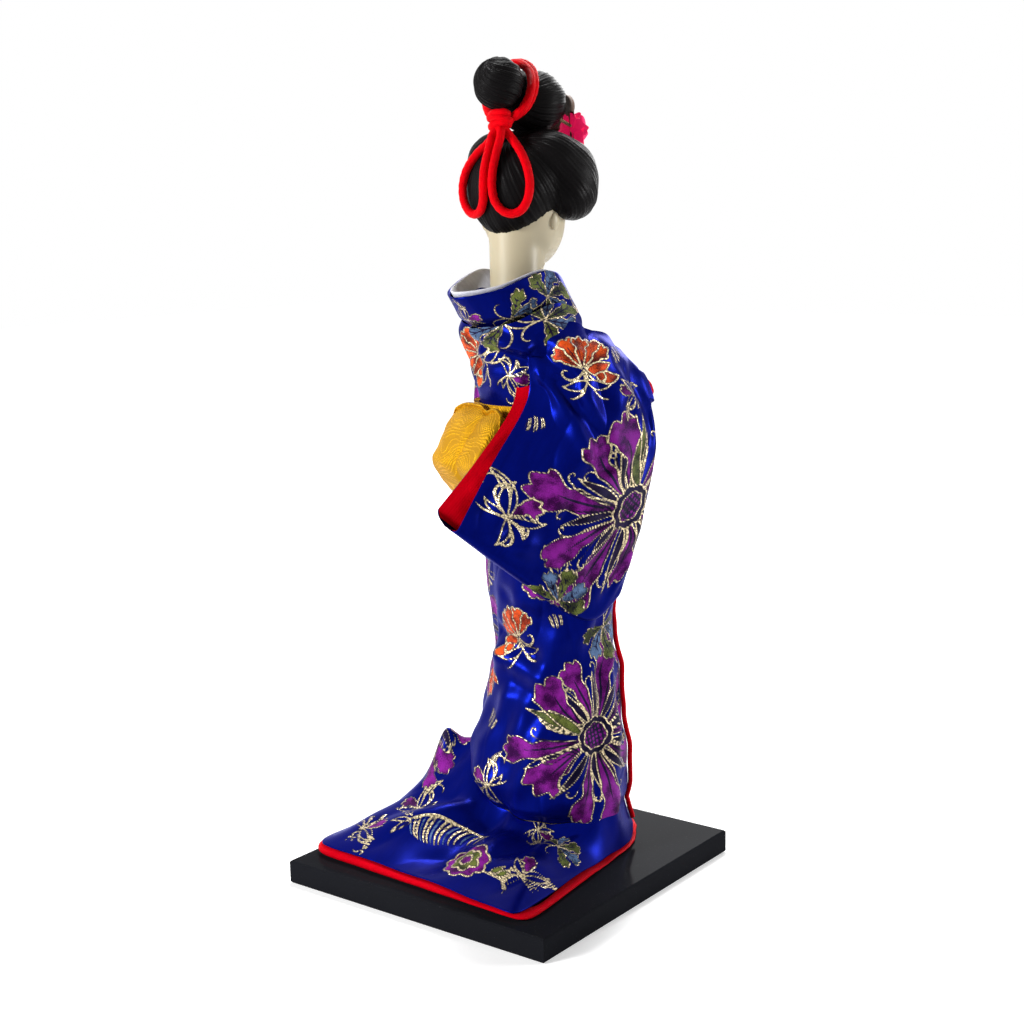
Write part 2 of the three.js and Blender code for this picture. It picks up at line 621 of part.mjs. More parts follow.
/** Rings of the skirt's surface, from the waist to the hem. */
function skirtRings(columnSteps, flareSteps) {
  const levels = [
    ...range(columnSteps).map((i) => i / columnSteps),
    ...range(flareSteps + 1).map((i) => 1 + i / flareSteps),
  ];
  return levels.map((down) => range(AROUND.skirt).map((j) => skirtPoint(turn(AROUND.skirt, j), down)));
}

/** A ring along the lining's rolled edge, past the hem by a distance and below the silk by another. */
function lipRing(outward, below) {
  return range(AROUND.skirt).map((j) => {
    const angle = turn(AROUND.skirt, j);
    const bearing = radToDeg(angle) + STAND.turn;
    const reach = hemReach(bearing) + outward;
    return V(reach * Math.cos(angle), reach * Math.sin(angle), Math.max(hemHeight(bearing) - below, GAP));
  });
}

const skirtFace = skirtRings(6, 5);
const underSilk = CLOTH.silk + CLOTH.space;
piece(figure, 'kimono_skirt', shell(skirtFace, inset(skirtFace, CLOTH.silk)), silkBlue);
const liningFace = inset(skirtFace, underSilk);
const liningBack = inset(skirtFace, underSilk + CLOTH.lining).slice(0, -1);
const floorRing = (outward) => lipRing(outward, BOARD.side);
const lip = [
  lipRing(-0.6, underSilk + 0.1),
  lipRing(HEM.lip - 0.4, underSilk),
  lipRing(HEM.lip, underSilk + 0.8),
  floorRing(HEM.lip - 0.9),
];
piece(figure, 'kimono_lining', shell([...liningFace, ...lip], [...liningBack, floorRing(-2.6)]), liningRed);

const edgeAngle = degToRad(FRONT_EDGE.angle);
const edgePath = range(15).map((i) => {
  const point = skirtPoint(edgeAngle, lerp(0.06, 1.72, i / 14));
  const outward = V(Math.cos(edgeAngle), Math.sin(edgeAngle), 0);
  return point.addScaledVector(outward, FRONT_EDGE.radius + GAP);
});
piece(figure, 'front_edge_trim', bar(edgePath, FRONT_EDGE.radius, AROUND.trim, 22), liningRed);

// Sleeves: each is a bag, given by the net of its outer layer and the net of the layer next to the body.
const RIGHT_NETS = {
  outer: [
    [V(-17, 19, 203), V(-21, 6, 201), V(-23, -7, 197), V(-22, -19, 189)],
    [V(-19, 21, 190), V(-30, 9, 189), V(-32, -8, 185), V(-29, -25, 178)],
    [V(-20, 22, 174), V(-33, 8, 168), V(-35, -9, 163), V(-31, -28, 156)],
    [V(-22, 39, 152), V(-33, 21, 141), V(-37.5, -2, 131), V(-33, -20, 128)],
    [V(-24, 56, 129), V(-31, 32, 110), V(-35, 8, 93), V(-33, -9, 100)],
  ],
  inner: [
    [V(-13, 18, 202), V(-17, 6, 200), V(-19, -7, 196), V(-18, -18, 188)],
    [V(-9, 20, 190), V(-18, 8, 189), V(-21, -8, 185), V(-18, -24, 178)],
    [V(-15.8, 25.5, 173), V(-28.5, 9, 168), V(-30, -8, 163), V(-26, -27, 156)],
    [V(-17.8, 43, 154), V(-28.5, 24, 141), V(-32.5, 0, 131), V(-28.5, -19, 128)],
    [V(-13, 58, 136), V(-24, 33, 112), V(-30.5, 8, 94.5), V(-29, -9, 101)],
  ],
};
const LEFT_NETS = {
  outer: [
    [V(15, 21, 203), V(23, 12, 201), V(27, -3, 198), V(25, -19, 192)],
    [V(18, 17, 190), V(30, 12, 189), V(34, -6, 187), V(31, -26, 183)],
    [V(24, 15, 172), V(35, 9, 167), V(37.5, -9, 164), V(33, -30, 161)],
    [V(32, 12, 143), V(37, 3, 137), V(39.5, -11, 134), V(34.5, -29.6, 133)],
    [V(34, 4, 114), V(36.5, 0, 107), V(38, -12, 105), V(33.5, -29, 108)],
  ],
  inner: [
    [V(11, 20, 202), V(18, 11, 200), V(22, -3, 197), V(21, -18, 191)],
    [V(9, 15, 190), V(18, 10, 189), V(22, -7, 187), V(20, -25, 183)],
    [V(20, 14, 172), V(30.4, 8, 167), V(33, -8, 164), V(28, -29, 161)],
    [V(28.6, 11, 143), V(32.2, 2, 137), V(34.8, -10, 134), V(30, -28.8, 133)],
    [V(30, 4, 115), V(32, 0, 108), V(33.8, -11, 106), V(29.5, -28.2, 109)],
  ],
};
const CUFF = { from: 0.08, to: 0.34 };
const FOLD_LINE = { u: 0.3, v: 0.36, lean: 0.9, spread: 0.11 };

/** The space inside a sleeve, drawn in from its faces and folds, and carried past its open edges. */
function sleeveSpace(nets, drawnIn, past) {
  const columns = 6;
  const rows = 7;
  const inward = [drawnIn / 55, drawnIn / 95];
  const faces = [nets.outer, nets.inner].map((net, face) => range(rows + 1).map((i) => {
    const v = lerp(inward[1], 1 - inward[1], i / rows);
    const last = v > CUFF.from && v < CUFF.to ? [1, 1 + past] : [1 - inward[0], 1 - inward[0]];
    const places = [-past, ...range(columns).map((j) => j / columns), ...last];
    return (past > 0 ? places : places.slice(1, -1)).map((u) => {
      const point = onNet(net, u, v);
      const across = onNet(face === 0 ? nets.inner : nets.outer, u, v).sub(point).normalize();
      const onFold = bell((u - FOLD_LINE.u - FOLD_LINE.lean * (v - FOLD_LINE.v)) / FOLD_LINE.spread);
      const fade = smooth(v, 0.2, 0.4) * (1 - smooth(v, 0.6, 0.85)) * (1 - face);
      return point.addScaledVector(across, drawnIn - SLEEVE.fold * onFold * fade);
    });
  }));
  return between(faces[0], faces[1]);
}

const cordReach = SASH_CORD.radius + GAP;
const cordRoom = stack(beltRings(SASH_CORD.h - cordReach, SASH_CORD.h + cordReach, sashOutside + 2 * cordReach, 1));
const sleeveRoom = [bodiceRoom, sashRoom, cordRoom, knotRoom, ...armHoles];
for (const [side, nets] of Object.entries({ right: RIGHT_NETS, left: LEFT_NETS })) {
  const lined = SLEEVE.wall + SLEEVE.space;
  const silk = without(sleeveSpace(nets, 0, 0), [sleeveSpace(nets, SLEEVE.wall, 0.12), ...sleeveRoom]);
  const hollowOut = sleeveSpace(nets, lined + SLEEVE.lining, 0.12);
  const lining = without(sleeveSpace(nets, lined, 0), [hollowOut, ...sleeveRoom]);
  piece(figure, `sleeve_${side}`, silk, silkBlue);
  piece(figure, `sleeve_lining_${side}`, lining, liningRed);
}

// Head and neck
/** Half width, front and back of the head at heights from the chin to the crown. */
const HEAD_SECTIONS = [
  [0, 0.16, 0.58, -0.2],
  [0.05, 0.4, 0.78, 0.1],
  [0.14, 0.66, 0.92, 0.42],
  [0.27, 0.86, 0.97, 0.72],
  [0.42, 0.97, 0.96, 0.93],
  [0.56, 1, 0.94, 1],
  [0.72, 0.97, 0.93, 1],
  [0.86, 0.78, 0.74, 0.86],
  [0.95, 0.5, 0.46, 0.6],
  [1, 0.14, 0.12, 0.2],
];

/** Rings of the head's surface, a clearance outside it. */
function headRings(clearance) {
  const tall = HEAD.crown - HEAD.chin;
  return HEAD_SECTIONS.map(([share, wide, front, back], i) => {
    const end = i === 0 || i === HEAD_SECTIONS.length - 1;
    const h = HEAD.chin + tall * share + (end ? Math.sign(share - 0.5) * clearance : 0);
    return range(AROUND.head).map((j) => {
      const angle = turn(AROUND.head, j) + Math.PI / 2;
      const deep = Math.sin(angle) < 0 ? front * HEAD.front : back * HEAD.back;
      const nose = clearance > 0 ? 0 : NOSE.rise * bell((h - NOSE.h) / NOSE.tall) * bell(Math.cos(angle) / NOSE.wide);
      const y = (deep + clearance) * Math.sin(angle) - HEAD.forward - (Math.sin(angle) < 0 ? nose : 0);
      return V((wide * HEAD.width + clearance) * Math.cos(angle), y, h);
    });
  });
}

/** The neck: a column that widens at its foot, in the robe's collar. */
function neckShape() {
  const topHeight = HEAD.chin + 14;
  const profile = [
    new THREE.Vector2(0, NECK.base),
    new THREE.Vector2(NECK.radius + NECK.flare, NECK.base),
    new THREE.Vector2(NECK.radius + 0.3 * NECK.flare, NECK.base + 0.5 * NECK.flareTall),
    new THREE.Vector2(NECK.radius, NECK.base + 1.4 * NECK.flareTall),
    new THREE.Vector2(NECK.radius, topHeight),
    new THREE.Vector2(0, topHeight),
  ];
  return new THREE.LatheGeometry(profile, AROUND.head).rotateX(Math.PI / 2);
}

const headSolid = joined([stack(headRings(0)), neckShape()]);
piece(head, 'head', without(headSolid, [stickShape(GAP / 2)]), skinWhite);
piece(head, 'neck_stick', stickShape(-GAP / 2), paleWood);

// Hair: padded masses that lie on the head and against one another
const headRoom = [stack(headRings(GAP)), new THREE.CylinderGeometry(NECK.radius + GAP, NECK.radius + GAP, 60, 24)
  .rotateX(Math.PI / 2).translate(0, 0, HEAD.chin)];
const lockSize = (side) => ({ ...HAIR.lock, x: side * HAIR.lock.x });
const hairBall = (size, grow) => ball(size, grow, AROUND.hair, 8);
const bag = hairBall(HAIR.bag, GAP);
const topknotRoom = hairBall(HAIR.topknot, GAP);
const frontRoom = hairBall(HAIR.front, GAP);
piece(head, 'hair_back', without(hairBall(HAIR.bag, 0), headRoom), hairBlack);
piece(head, 'hair_front', without(hairBall(HAIR.front, 0), [...headRoom, bag]), hairBlack);
for (const [side, sign] of [['right', -1], ['left', 1]]) {
  const lock = without(hairBall(lockSize(sign), 0), [...headRoom, bag, frontRoom]);
  piece(head, `hair_side_${side}`, lock, hairBlack);
}
const locksRoom = [hairBall(lockSize(-1), GAP), hairBall(lockSize(1), GAP)];

/** A point on the topknot's surface at an angle, a distance outside it. */
function topknotPoint(angle, h, outside) {
  const { y, h: middle, width, depth, tall } = HAIR.topknot;
  const share = Math.sqrt(Math.max(1 - ((Math.max(h, COMB.waist) - middle) / tall) ** 2, 0));
  return V((width * share + outside) * Math.cos(angle), (depth * share + outside) * Math.sin(angle) + y, h);
}

/** The hairpin: a stick from the flower into the topknot. */
function pinShape(grow) {
  const flower = V(FLOWER.x, FLOWER.y, FLOWER.h);
  const inside = V(HAIR.topknot.x, HAIR.topknot.y, HAIR.topknot.h);
  const toward = V(0, 0, 0).subVectors(inside, flower).normalize();
  const start = flower.clone().addScaledVector(toward, FLOWER.thick / 2 + GAP);
  const end = inside.clone().addScaledVector(toward, -4 + grow);
  return bar([start, start.clone().lerp(end, 0.5), end], FLOWER.pin + grow, AROUND.trim, 2);
}

const topknot = without(hairBall(HAIR.topknot, 0), [bag, frontRoom, ...locksRoom, pinShape(GAP)]);
piece(head, 'hair_topknot', topknot, hairBlack);
piece(head, 'hair_bun', without(hairBall(HAIR.bun, 0), [topknotRoom]), hairBlack);
piece(head, 'hairpin_stick', pinShape(0), paleWood);

/** The comb: a thin plate bent round the front of the topknot, high in its middle and low at its ends. */
function combShape() {
  const columns = 12;
  const faces = [COMB.off, COMB.off + COMB.thick].map((outside) => range(4).map((i) => range(columns + 1).map((j) => {
    const share = j / columns;
    const top = lerp(COMB.low + 7, COMB.high, Math.sqrt(Math.sin(Math.PI * lerp(0.04, 0.96, share))));
    return topknotPoint(degToRad(lerp(COMB.from, COMB.to, share)), lerp(COMB.low, top, i / 3), outside);
  })));
  return between(faces[0], faces[1]);
}
const flowerSpace = new THREE.CylinderGeometry(FLOWER.radius + GAP, FLOWER.radius + GAP, 2 * FLOWER.deep, 16)
  .rotateZ(Math.PI / 2 + degToRad(FLOWER.facing)).translate(FLOWER.x, FLOWER.y, FLOWER.h);
const combRoom = [pinShape(GAP), frontRoom, ...locksRoom, flowerSpace];
piece(head, 'comb', without(combShape(), combRoom), combBrown);

/** The flower: a disc whose edge is cut into rounded petals, cupped towards its front. */
function flowerShape() {
  const circles = [[0.25, 0.2], [0.6, 0.1], [0.86, 0.75], [1, 1.9]];
  const count = 4 * FLOWER.petals;
  const face = (lift) => circles.map(([share, rise]) => range(count + 1).map((j) => {
    const angle = turn(count, j);
    const r = FLOWER.radius * share * (1 - 0.16 * share * (1 - Math.abs(Math.sin((FLOWER.petals * angle) / 2))));
    return V(rise + lift, r * Math.cos(angle), r * Math.sin(angle));
  }));
  const rings = [...face(FLOWER.thick / 2), ...face(-FLOWER.thick / 2).toReversed()].map((ring) => ring.slice(0, -1));
  const geometry = stack(rings);
  geometry.rotateZ(degToRad(FLOWER.facing));
  return geometry.translate(FLOWER.x, FLOWER.y, FLOWER.h);
}
const flowerRoom = [topknotRoom, frontRoom, ...locksRoom, pinShape(GAP)];
piece(head, 'hairpin_flower', without(flowerShape(), flowerRoom), petalPink);

// Hair cord: a ring tied round the bun's root, its knot, and two loops that hang down over the back hair
const RING = [
  V(-3.4, 6.2, 272.8), V(-7.4, 3.4, 276.5), V(-9.2, 0.6, 283), V(-6.6, -2.6, 289.6), V(0, -4.4, 292.4),
  V(6.6, -2.6, 289.6), V(9.2, 0.6, 283), V(7.4, 3.4, 276.5), V(3.4, 6.2, 272.8),
];
const LOOP = [
  V(-3.1, 8.2, 267.4), V(-5.6, 8.4, 264.6), V(-9.6, 10.2, 260.6), V(-12.8, 11.7, 255.5), V(-14.2, 12.4, 250),
  V(-13.6, 12.9, 244.8), V(-11.2, 13.5, 241), V(-7.9, 14.6, 239.7), V(-4.6, 15.9, 241), V(-2.4, 17.2, 244.6),
  V(-1.8, 17.8, 249.6), V(-1.8, 17, 255), V(-1.8, 14.8, 260.2), V(-1.8, 12.6, 264.4), V(-1.8, 11.3, 267.2),
];
const knotSize = CORD.knot;
const cordRadius = CORD.diameter / 2;
const ringRoom = [hairBall(HAIR.bun, GAP), topknotRoom, bag, ball(knotSize, GAP, 12, 8)];
piece(head, 'hair_cord_ring', without(bar(RING, cordRadius, AROUND.cord, 16), ringRoom), cordRed);
piece(head, 'hair_cord_knot', without(ball(knotSize, 0, 12, 8), [hairBall(HAIR.bun, GAP), bag]), cordRed);
piece(head, 'hair_cord_loop_right', bar(LOOP, cordRadius, AROUND.cord, 18), cordRed);
piece(head, 'hair_cord_loop_left', bar(LOOP.map(mirrored), cordRadius, AROUND.cord, 18), cordRed);

export default doll;
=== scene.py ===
"""A costume doll in a blue brocade robe, standing on a lacquered board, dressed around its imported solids.

Sizes in the classes are millimetres in the doll's own frames, and meshes are made in metres.
"""

import logging
import math
from dataclasses import dataclass, field
from enum import Enum
from typing import Callable, Sequence

import bpy
import numpy as np
from mathutils import Matrix


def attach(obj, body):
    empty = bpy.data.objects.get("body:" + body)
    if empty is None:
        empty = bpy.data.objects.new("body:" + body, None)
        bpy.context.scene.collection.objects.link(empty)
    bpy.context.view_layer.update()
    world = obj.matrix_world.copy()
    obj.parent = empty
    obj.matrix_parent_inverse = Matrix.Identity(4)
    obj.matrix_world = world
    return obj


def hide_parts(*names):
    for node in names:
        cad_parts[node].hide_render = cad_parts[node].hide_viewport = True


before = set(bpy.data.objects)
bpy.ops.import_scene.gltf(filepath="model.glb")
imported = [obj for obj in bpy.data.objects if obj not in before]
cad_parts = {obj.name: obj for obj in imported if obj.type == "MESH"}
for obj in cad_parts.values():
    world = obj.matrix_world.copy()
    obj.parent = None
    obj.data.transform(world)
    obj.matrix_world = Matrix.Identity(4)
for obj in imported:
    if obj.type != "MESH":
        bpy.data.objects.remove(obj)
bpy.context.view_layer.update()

LOG = logging.getLogger("doll")
MM = 0.001
Array = np.ndarray
Colour = tuple[float, float, float]
Point = tuple[float, float, float]
Marks = dict[str, Array]
Node = bpy.types.Node
Object = bpy.types.Object
Swell = Callable[[Array, Array], Array]
Socket = bpy.types.NodeSocket


# Curves and blends, worked out on whole arrays
def smoothstep(x: Array, low: float, high: float) -> Array:
    """A smooth rise from 0 at low to 1 at high: 3t^2 - 2t^3 of the share t that x has covered."""
    t = np.clip((np.asarray(x, float) - low) / (high - low), 0.0, 1.0)
    return t * t * (3.0 - 2.0 * t)


def window(x: Array, a: float, b: float, c: float, d: float) -> Array:
    """A smooth rise from a to b and a smooth fall from c to d."""
    return smoothstep(x, a, b) * (1 - smoothstep(x, c, d))


def bell(x: Array) -> Array:
    """The bell curve exp(-x^2)."""
    return np.exp(-np.square(x))


def circle(count: int) -> Array:
    """Angles once round, in radians, evenly spaced and without the last."""
    return np.linspace(0, math.tau, count, endpoint=False)


def bearing_gap(a: Array, b: float) -> Array:
    """The difference of two bearings in degrees, from -180 to 180."""
    return (np.asarray(a, float) - b + 180.0) % 360.0 - 180.0


def toward(bearing: Array, middle: float, spread: float) -> Array:
    """A bell over bearings, about a middle one."""
    return bell(bearing_gap(bearing, middle) / spread)


def through(heights: Array, values: Array, h: Array) -> Array:
    """A smooth curve through given values, flat at both ends.

    Each span is a cubic whose end slopes are the slopes between the neighbours on either side.

    Args:
        heights: Rising heights at which the values are given.
        values: The value at each height.
        h: Heights to find values for.

    Returns:
        The values at h.
    """
    heights, values = np.asarray(heights, float), np.asarray(values, float)
    slopes = np.zeros_like(values)
    slopes[1:-1] = (values[2:] - values[:-2]) / (heights[2:] - heights[:-2])
    at = np.clip(h, heights[0], heights[-1])
    i = np.clip(np.searchsorted(heights, at, side="right") - 1, 0, len(heights) - 2)
    span = heights[i + 1] - heights[i]
    t = (at - heights[i]) / span
    a = 2 * t**3 - 3 * t**2 + 1
    b = (t**3 - 2 * t**2 + t) * span * slopes[i]
    c = (t**3 - t**2) * span * slopes[i + 1]
    return a * values[i] + b + (1 - a) * values[i + 1] + c


def spline_weights(count: int, t: Array) -> Array:
    """Weights of a Catmull-Rom curve's points, straight on past its ends.

    Args:
        count: How many points the curve runs through.
        t: Places on the curve, from 0 at its first point to 1 at its last.

    Returns:
        One row of weights for each place.
    """
    at = np.clip(np.asarray(t, float).ravel(), 0.0, 1.0) * (count - 1)
    i = np.minimum(at.astype(int), count - 2)
    x = at - i
    cubic = (-0.5 * x + x**2 - 0.5 * x**3, 1 - 2.5 * x**2 + 1.5 * x**3,
             0.5 * x + 2 * x**2 - 1.5 * x**3, -0.5 * x**2 + 0.5 * x**3)
    padded = np.zeros((len(at), count + 2))
    for k, weight in enumerate(cubic):
        padded[np.arange(len(at)), i + k] += weight
    weights = padded[:, 1:-1].copy()
    weights[:, 0] += 2 * padded[:, 0]
    weights[:, 1] -= padded[:, 0]
    weights[:, -1] += 2 * padded[:, -1]
    weights[:, -2] -= padded[:, -1]
    return weights


def curve_points(points: Array, t: Array) -> Array:
    """Points of the Catmull-Rom curve through points, at places t from 0 to 1."""
    points = np.asarray(points, float)
    return spline_weights(len(points), t) @ points


def even_curve(points: Array, count: int) -> Array:
    """A curve through points, cut into equal lengths.

    Args:
        points: The points that it runs through.
        count: How many points to give.

    Returns:
        The evenly spaced points.
    """
    fine = curve_points(points, np.linspace(0, 1, 40 * len(points)))
    run = np.concatenate([[0], np.cumsum(np.linalg.norm(np.diff(fine, axis=0), axis=1))])
    at = np.linspace(0, run[-1], count)
    return np.stack([np.interp(at, run, fine[:, k]) for k in range(fine.shape[1])], axis=1)


def unit(vectors: Array) -> Array:
    """Vectors cut or stretched to length 1."""
    return vectors / np.maximum(np.linalg.norm(vectors, axis=-1, keepdims=True), 1e-9)


def flat_way(angle: Array) -> Array:
    """The level unit vectors at angles."""
    return np.stack([np.cos(angle), np.sin(angle), np.zeros_like(angle)], axis=-1)


def ball_grid(columns: int, rows: int, top: float = 1.5) -> tuple[Array, Array, Array]:
    """Longitudes and latitudes of a ball's points, up to a top latitude, and the points themselves."""
    turn, up = np.meshgrid(circle(columns), np.linspace(-top, top, rows))
    return turn, up, np.stack([np.cos(up) * np.cos(turn), np.cos(up) * np.sin(turn), np.sin(up)], axis=-1)


def surface_normals(points: Array, closed: bool) -> Array:
    """Normals of a grid of points, from the cross product of its row and column directions.

    Args:
        points: Rows by columns by 3.
        closed: Whether the last column joins the first.

    Returns:
        Unit normals, one for each point.
    """
    if closed:
        across = np.roll(points, -1, axis=1) - np.roll(points, 1, axis=1)
    else:
        across = np.gradient(points, axis=1)
    return unit(np.cross(across, np.gradient(points, axis=0)))


def run_lengths(points: Array, axis: int) -> Array:
    """Distance along a grid's rows or columns, from its first point on."""
    steps = np.linalg.norm(np.diff(points, axis=axis), axis=-1)
    start = np.zeros_like(np.take(steps, [0], axis=axis))
    return np.cumsum(np.concatenate([start, steps], axis=axis), axis=axis)


def waves(x: Array, y: Array, seed: int, size: float) -> Array:
    """Soft random unevenness of about -1 to 1: a sum of six sine waves with seeded directions and lengths.

    Args:
        x: First coordinate.
        y: Second coordinate.
        seed: Picks the waves.
        size: Their typical length.

    Returns:
        The sum at each point.
    """
    rng = np.random.default_rng(seed)
    count = 6
    total = np.zeros(np.broadcast(x, y).shape)
    for _ in range(count):
        heading, length, start = rng.uniform(0, math.tau), rng.uniform(0.6, 1.7), rng.uniform(0, math.tau)
        total += np.sin((x * math.cos(heading) + y * math.sin(heading)) * math.tau / (size * length) + start)
    return total / math.sqrt(2 * count)


def rumples(s: Array, t: Array, seed: int) -> Array:
    """Soft folds of satin, in millimetres: 0.8 * wave(1.5 cm) + 1.4 * |wave(2.6 cm)|, drawn out along t."""
    return 0.8 * waves(s, 0.65 * t, seed, 15.0) + 1.4 * (np.abs(waves(s, 0.5 * t, seed + 50, 26.0)) - 0.4)


def creased(s: Array, t: Array, creases: tuple[tuple[float, ...], ...]) -> Array:
    """The sum of soft ridges and hollows along lines on unrolled cloth: height * bell(distance / width).

    Args:
        s: Each point's place along the cloth.
        t: Its place across.
        creases: Each line's start and end as four numbers, then its height and its width.

    Returns:
        How far the cloth is moved at each point.
    """
    lift = np.zeros(np.broadcast(s, t).shape)
    for s0, t0, s1, t1, height, width in creases:
        ds, dt = s1 - s0, t1 - t0
        share = np.clip(((s - s0) * ds + (t - t0) * dt) / (ds * ds + dt * dt), 0, 1)
        lift = lift + height * bell(np.hypot(s - s0 - share * ds, t - t0 - share * dt) / width)
    return lift


def ball_distance(points: Array, middle: Array, size: Array) -> Array:
    """About how far points lie outside a stretched ball: |q| (|q| - 1) / |q / size| with q in half sizes."""
    q = (points - middle) / size
    reach = np.linalg.norm(q, axis=-1)
    return reach * (reach - 1) / np.maximum(np.linalg.norm(q / size, axis=-1), 1e-9)


def smooth_union(fields: list[Array], blend: float) -> Array:
    """The least of several distances, rounded where they are alike: -blend * log(sum(exp(-f / blend)))."""
    return -blend * np.log(sum(np.exp(-np.clip(f, -60, 60) / blend) for f in fields))


def farthest_skin(origins: Array, rays: Array, reach: float, field_of: Callable[[Array], Array]) -> Array:
    """The outermost points on rays where a field is zero.

    Each ray is sampled from near to far, and the step past the last negative place is halved.

    Args:
        origins: Where the rays start, inside the skin.
        rays: Their directions.
        reach: How far out to look.
        field_of: Gives the field at points: negative inside.

    Returns:
        The points.
    """
    near = np.zeros(rays.shape[:-1])
    for r in np.linspace(0.3, reach, 90):
        near = np.where(field_of(origins + rays * r) < 0, r, near)
    low, high = near, near + reach / 89
    for _ in range(10):
        mid = (low + high) / 2
        inside = field_of(origins + rays * mid[..., None]) < 0
        low, high = np.where(inside, mid, low), np.where(inside, high, mid)
    return origins + rays * low[..., None]


# Where the doll's groups stand
@dataclass(frozen=True)
class Placement:
    """A group's place: turned about the vertical, then moved, then carried by another group."""

    turn: float
    origin: Point
    carrier: "Placement | None" = None

    def to_world(self, points: Array) -> Array:
        """Points of this group in the object's frame, in millimetres."""
        moved = turned(points, math.radians(self.turn)) + np.array(self.origin)
        return self.carrier.to_world(moved) if self.carrier else moved


def turned(points: Array, angle: Array) -> Array:
    """Points turned about the vertical axis."""
    (x, y, z), cos, sin = np.moveaxis(np.asarray(points, float), -1, 0), np.cos(angle), np.sin(angle)
    return np.stack([x * cos - y * sin, x * sin + y * cos, z], axis=-1)


FIGURE = Placement(-20.0, (-7.0, -20.0, 9.0))
HEAD_FRAME = Placement(25.0, (0.0, 13.0, 0.0), FIGURE)
NECK_Y = HEAD_FRAME.origin[1]


class Body(Enum):
    """The two bodies that the neck joint parts, each with its name and where its pieces are drawn."""

    DOLL = ("body", FIGURE)
    HEAD = ("head", HEAD_FRAME)


# Meshes
@dataclass
class Patch:
    """A grid of points that becomes faces: rows by columns by 3."""

    points: Array
    closed: bool = False
    capped: bool = False
    inward: bool = False
    marks: Marks = field(default_factory=dict)

    def faces(self, start: int) -> tuple[Array, Array]:
        """Quads and the cap triangles, numbered from start, with their normals away from the middle.

        Args:
            start: The number of this patch's first vertex.

        Returns:
            The quads and the triangles, as rows of vertex numbers.
        """
        rows, columns = self.points.shape[:2]
        number = np.arange(rows * columns).reshape(rows, columns)
        right = np.roll(number, -1, axis=1) if self.closed else number[:, 1:]
        left = number if self.closed else number[:, :-1]
        quads = np.stack([left[:-1], left[1:], right[1:], right[:-1]], axis=-1).reshape(-1, 4)
        triangles = np.zeros((0, 3), int)
        if self.capped:
            first, last, tip = number[0], number[-1], np.full(columns, rows * columns)
            triangles = np.concatenate([np.stack([tip, first, np.roll(first, -1)], axis=-1),
                                        np.stack([tip + 1, np.roll(last, -1), last], axis=-1)])
        flat = self.points.reshape(-1, 3)
        a, b, d = (flat[quads[:, k]] for k in (0, 1, 3))
        outward = np.einsum("ij,ij->", np.cross(b - a, d - a), a - flat.mean(axis=0))
        if (outward < 0) != self.inward:
            quads, triangles = quads[:, ::-1], triangles[:, ::-1]
        return quads + start, triangles + start

    def with_tips(self, values: Array) -> Array:
        """A grid's values as a list, with the means of its first and last rows added for capped ends."""
        tips = [values[end].mean(axis=0)[None] for end in (0, -1) if self.capped]
        return np.concatenate([values.reshape(-1, *values.shape[2:]), *tips])


def add_piece(name: str, patches: Sequence[Patch], body: Body, finish: "Finish", *nodes: str) -> Object:
    """Makes one piece from its patches and hands it to the frame.

    Args:
        name: The piece's name.
        patches: The grids that make up its surface.
        body: The body that it rides on, in whose frame the points are.
        finish: What it is made of.
        *nodes: The solids that it stands for.

    Returns:
        The piece.
    """
    points, quads, triangles, start = [], [], [], 0
    for patch in patches:
        four, three = patch.faces(start)
        quads.append(four)
        triangles.append(three)
        points.append(patch.with_tips(patch.points))
        start += len(points[-1])
    corners = np.concatenate([np.concatenate(quads).ravel(), np.concatenate(triangles).ravel()])
    sizes = np.concatenate([np.full(sum(map(len, quads)), 4), np.full(sum(map(len, triangles)), 3)])
    rides, place = body.value
    mesh = bpy.data.meshes.new(name)
    mesh.vertices.add(start)
    mesh.vertices.foreach_set("co", (place.to_world(np.concatenate(points)) * MM).ravel())
    mesh.loops.add(len(corners))
    mesh.loops.foreach_set("vertex_index", corners)
    mesh.polygons.add(len(sizes))
    mesh.polygons.foreach_set("loop_start", np.concatenate([[0], np.cumsum(sizes)[:-1]]))
    mesh.polygons.foreach_set("loop_total", sizes)
    mesh.polygons.foreach_set("use_smooth", np.ones(len(sizes), bool))
    mesh.update(calc_edges=True)
    for mark in sorted(patches[0].marks):
        values = np.concatenate([patch.with_tips(patch.marks[mark]) for patch in patches])
        kind, key = ("FLOAT_VECTOR", "vector") if values.ndim == 2 else ("FLOAT", "value")
        mesh.attributes.new(mark, kind, "POINT").data.foreach_set(key, values.ravel())
    mesh.validate()
    piece = bpy.data.objects.new(name, mesh)
    bpy.context.scene.collection.objects.link(piece)
    mesh.materials.append(finish.material())
    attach(piece, rides)
    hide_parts(*nodes)
    LOG.info("%s: %d faces", name, len(sizes))
    return piece


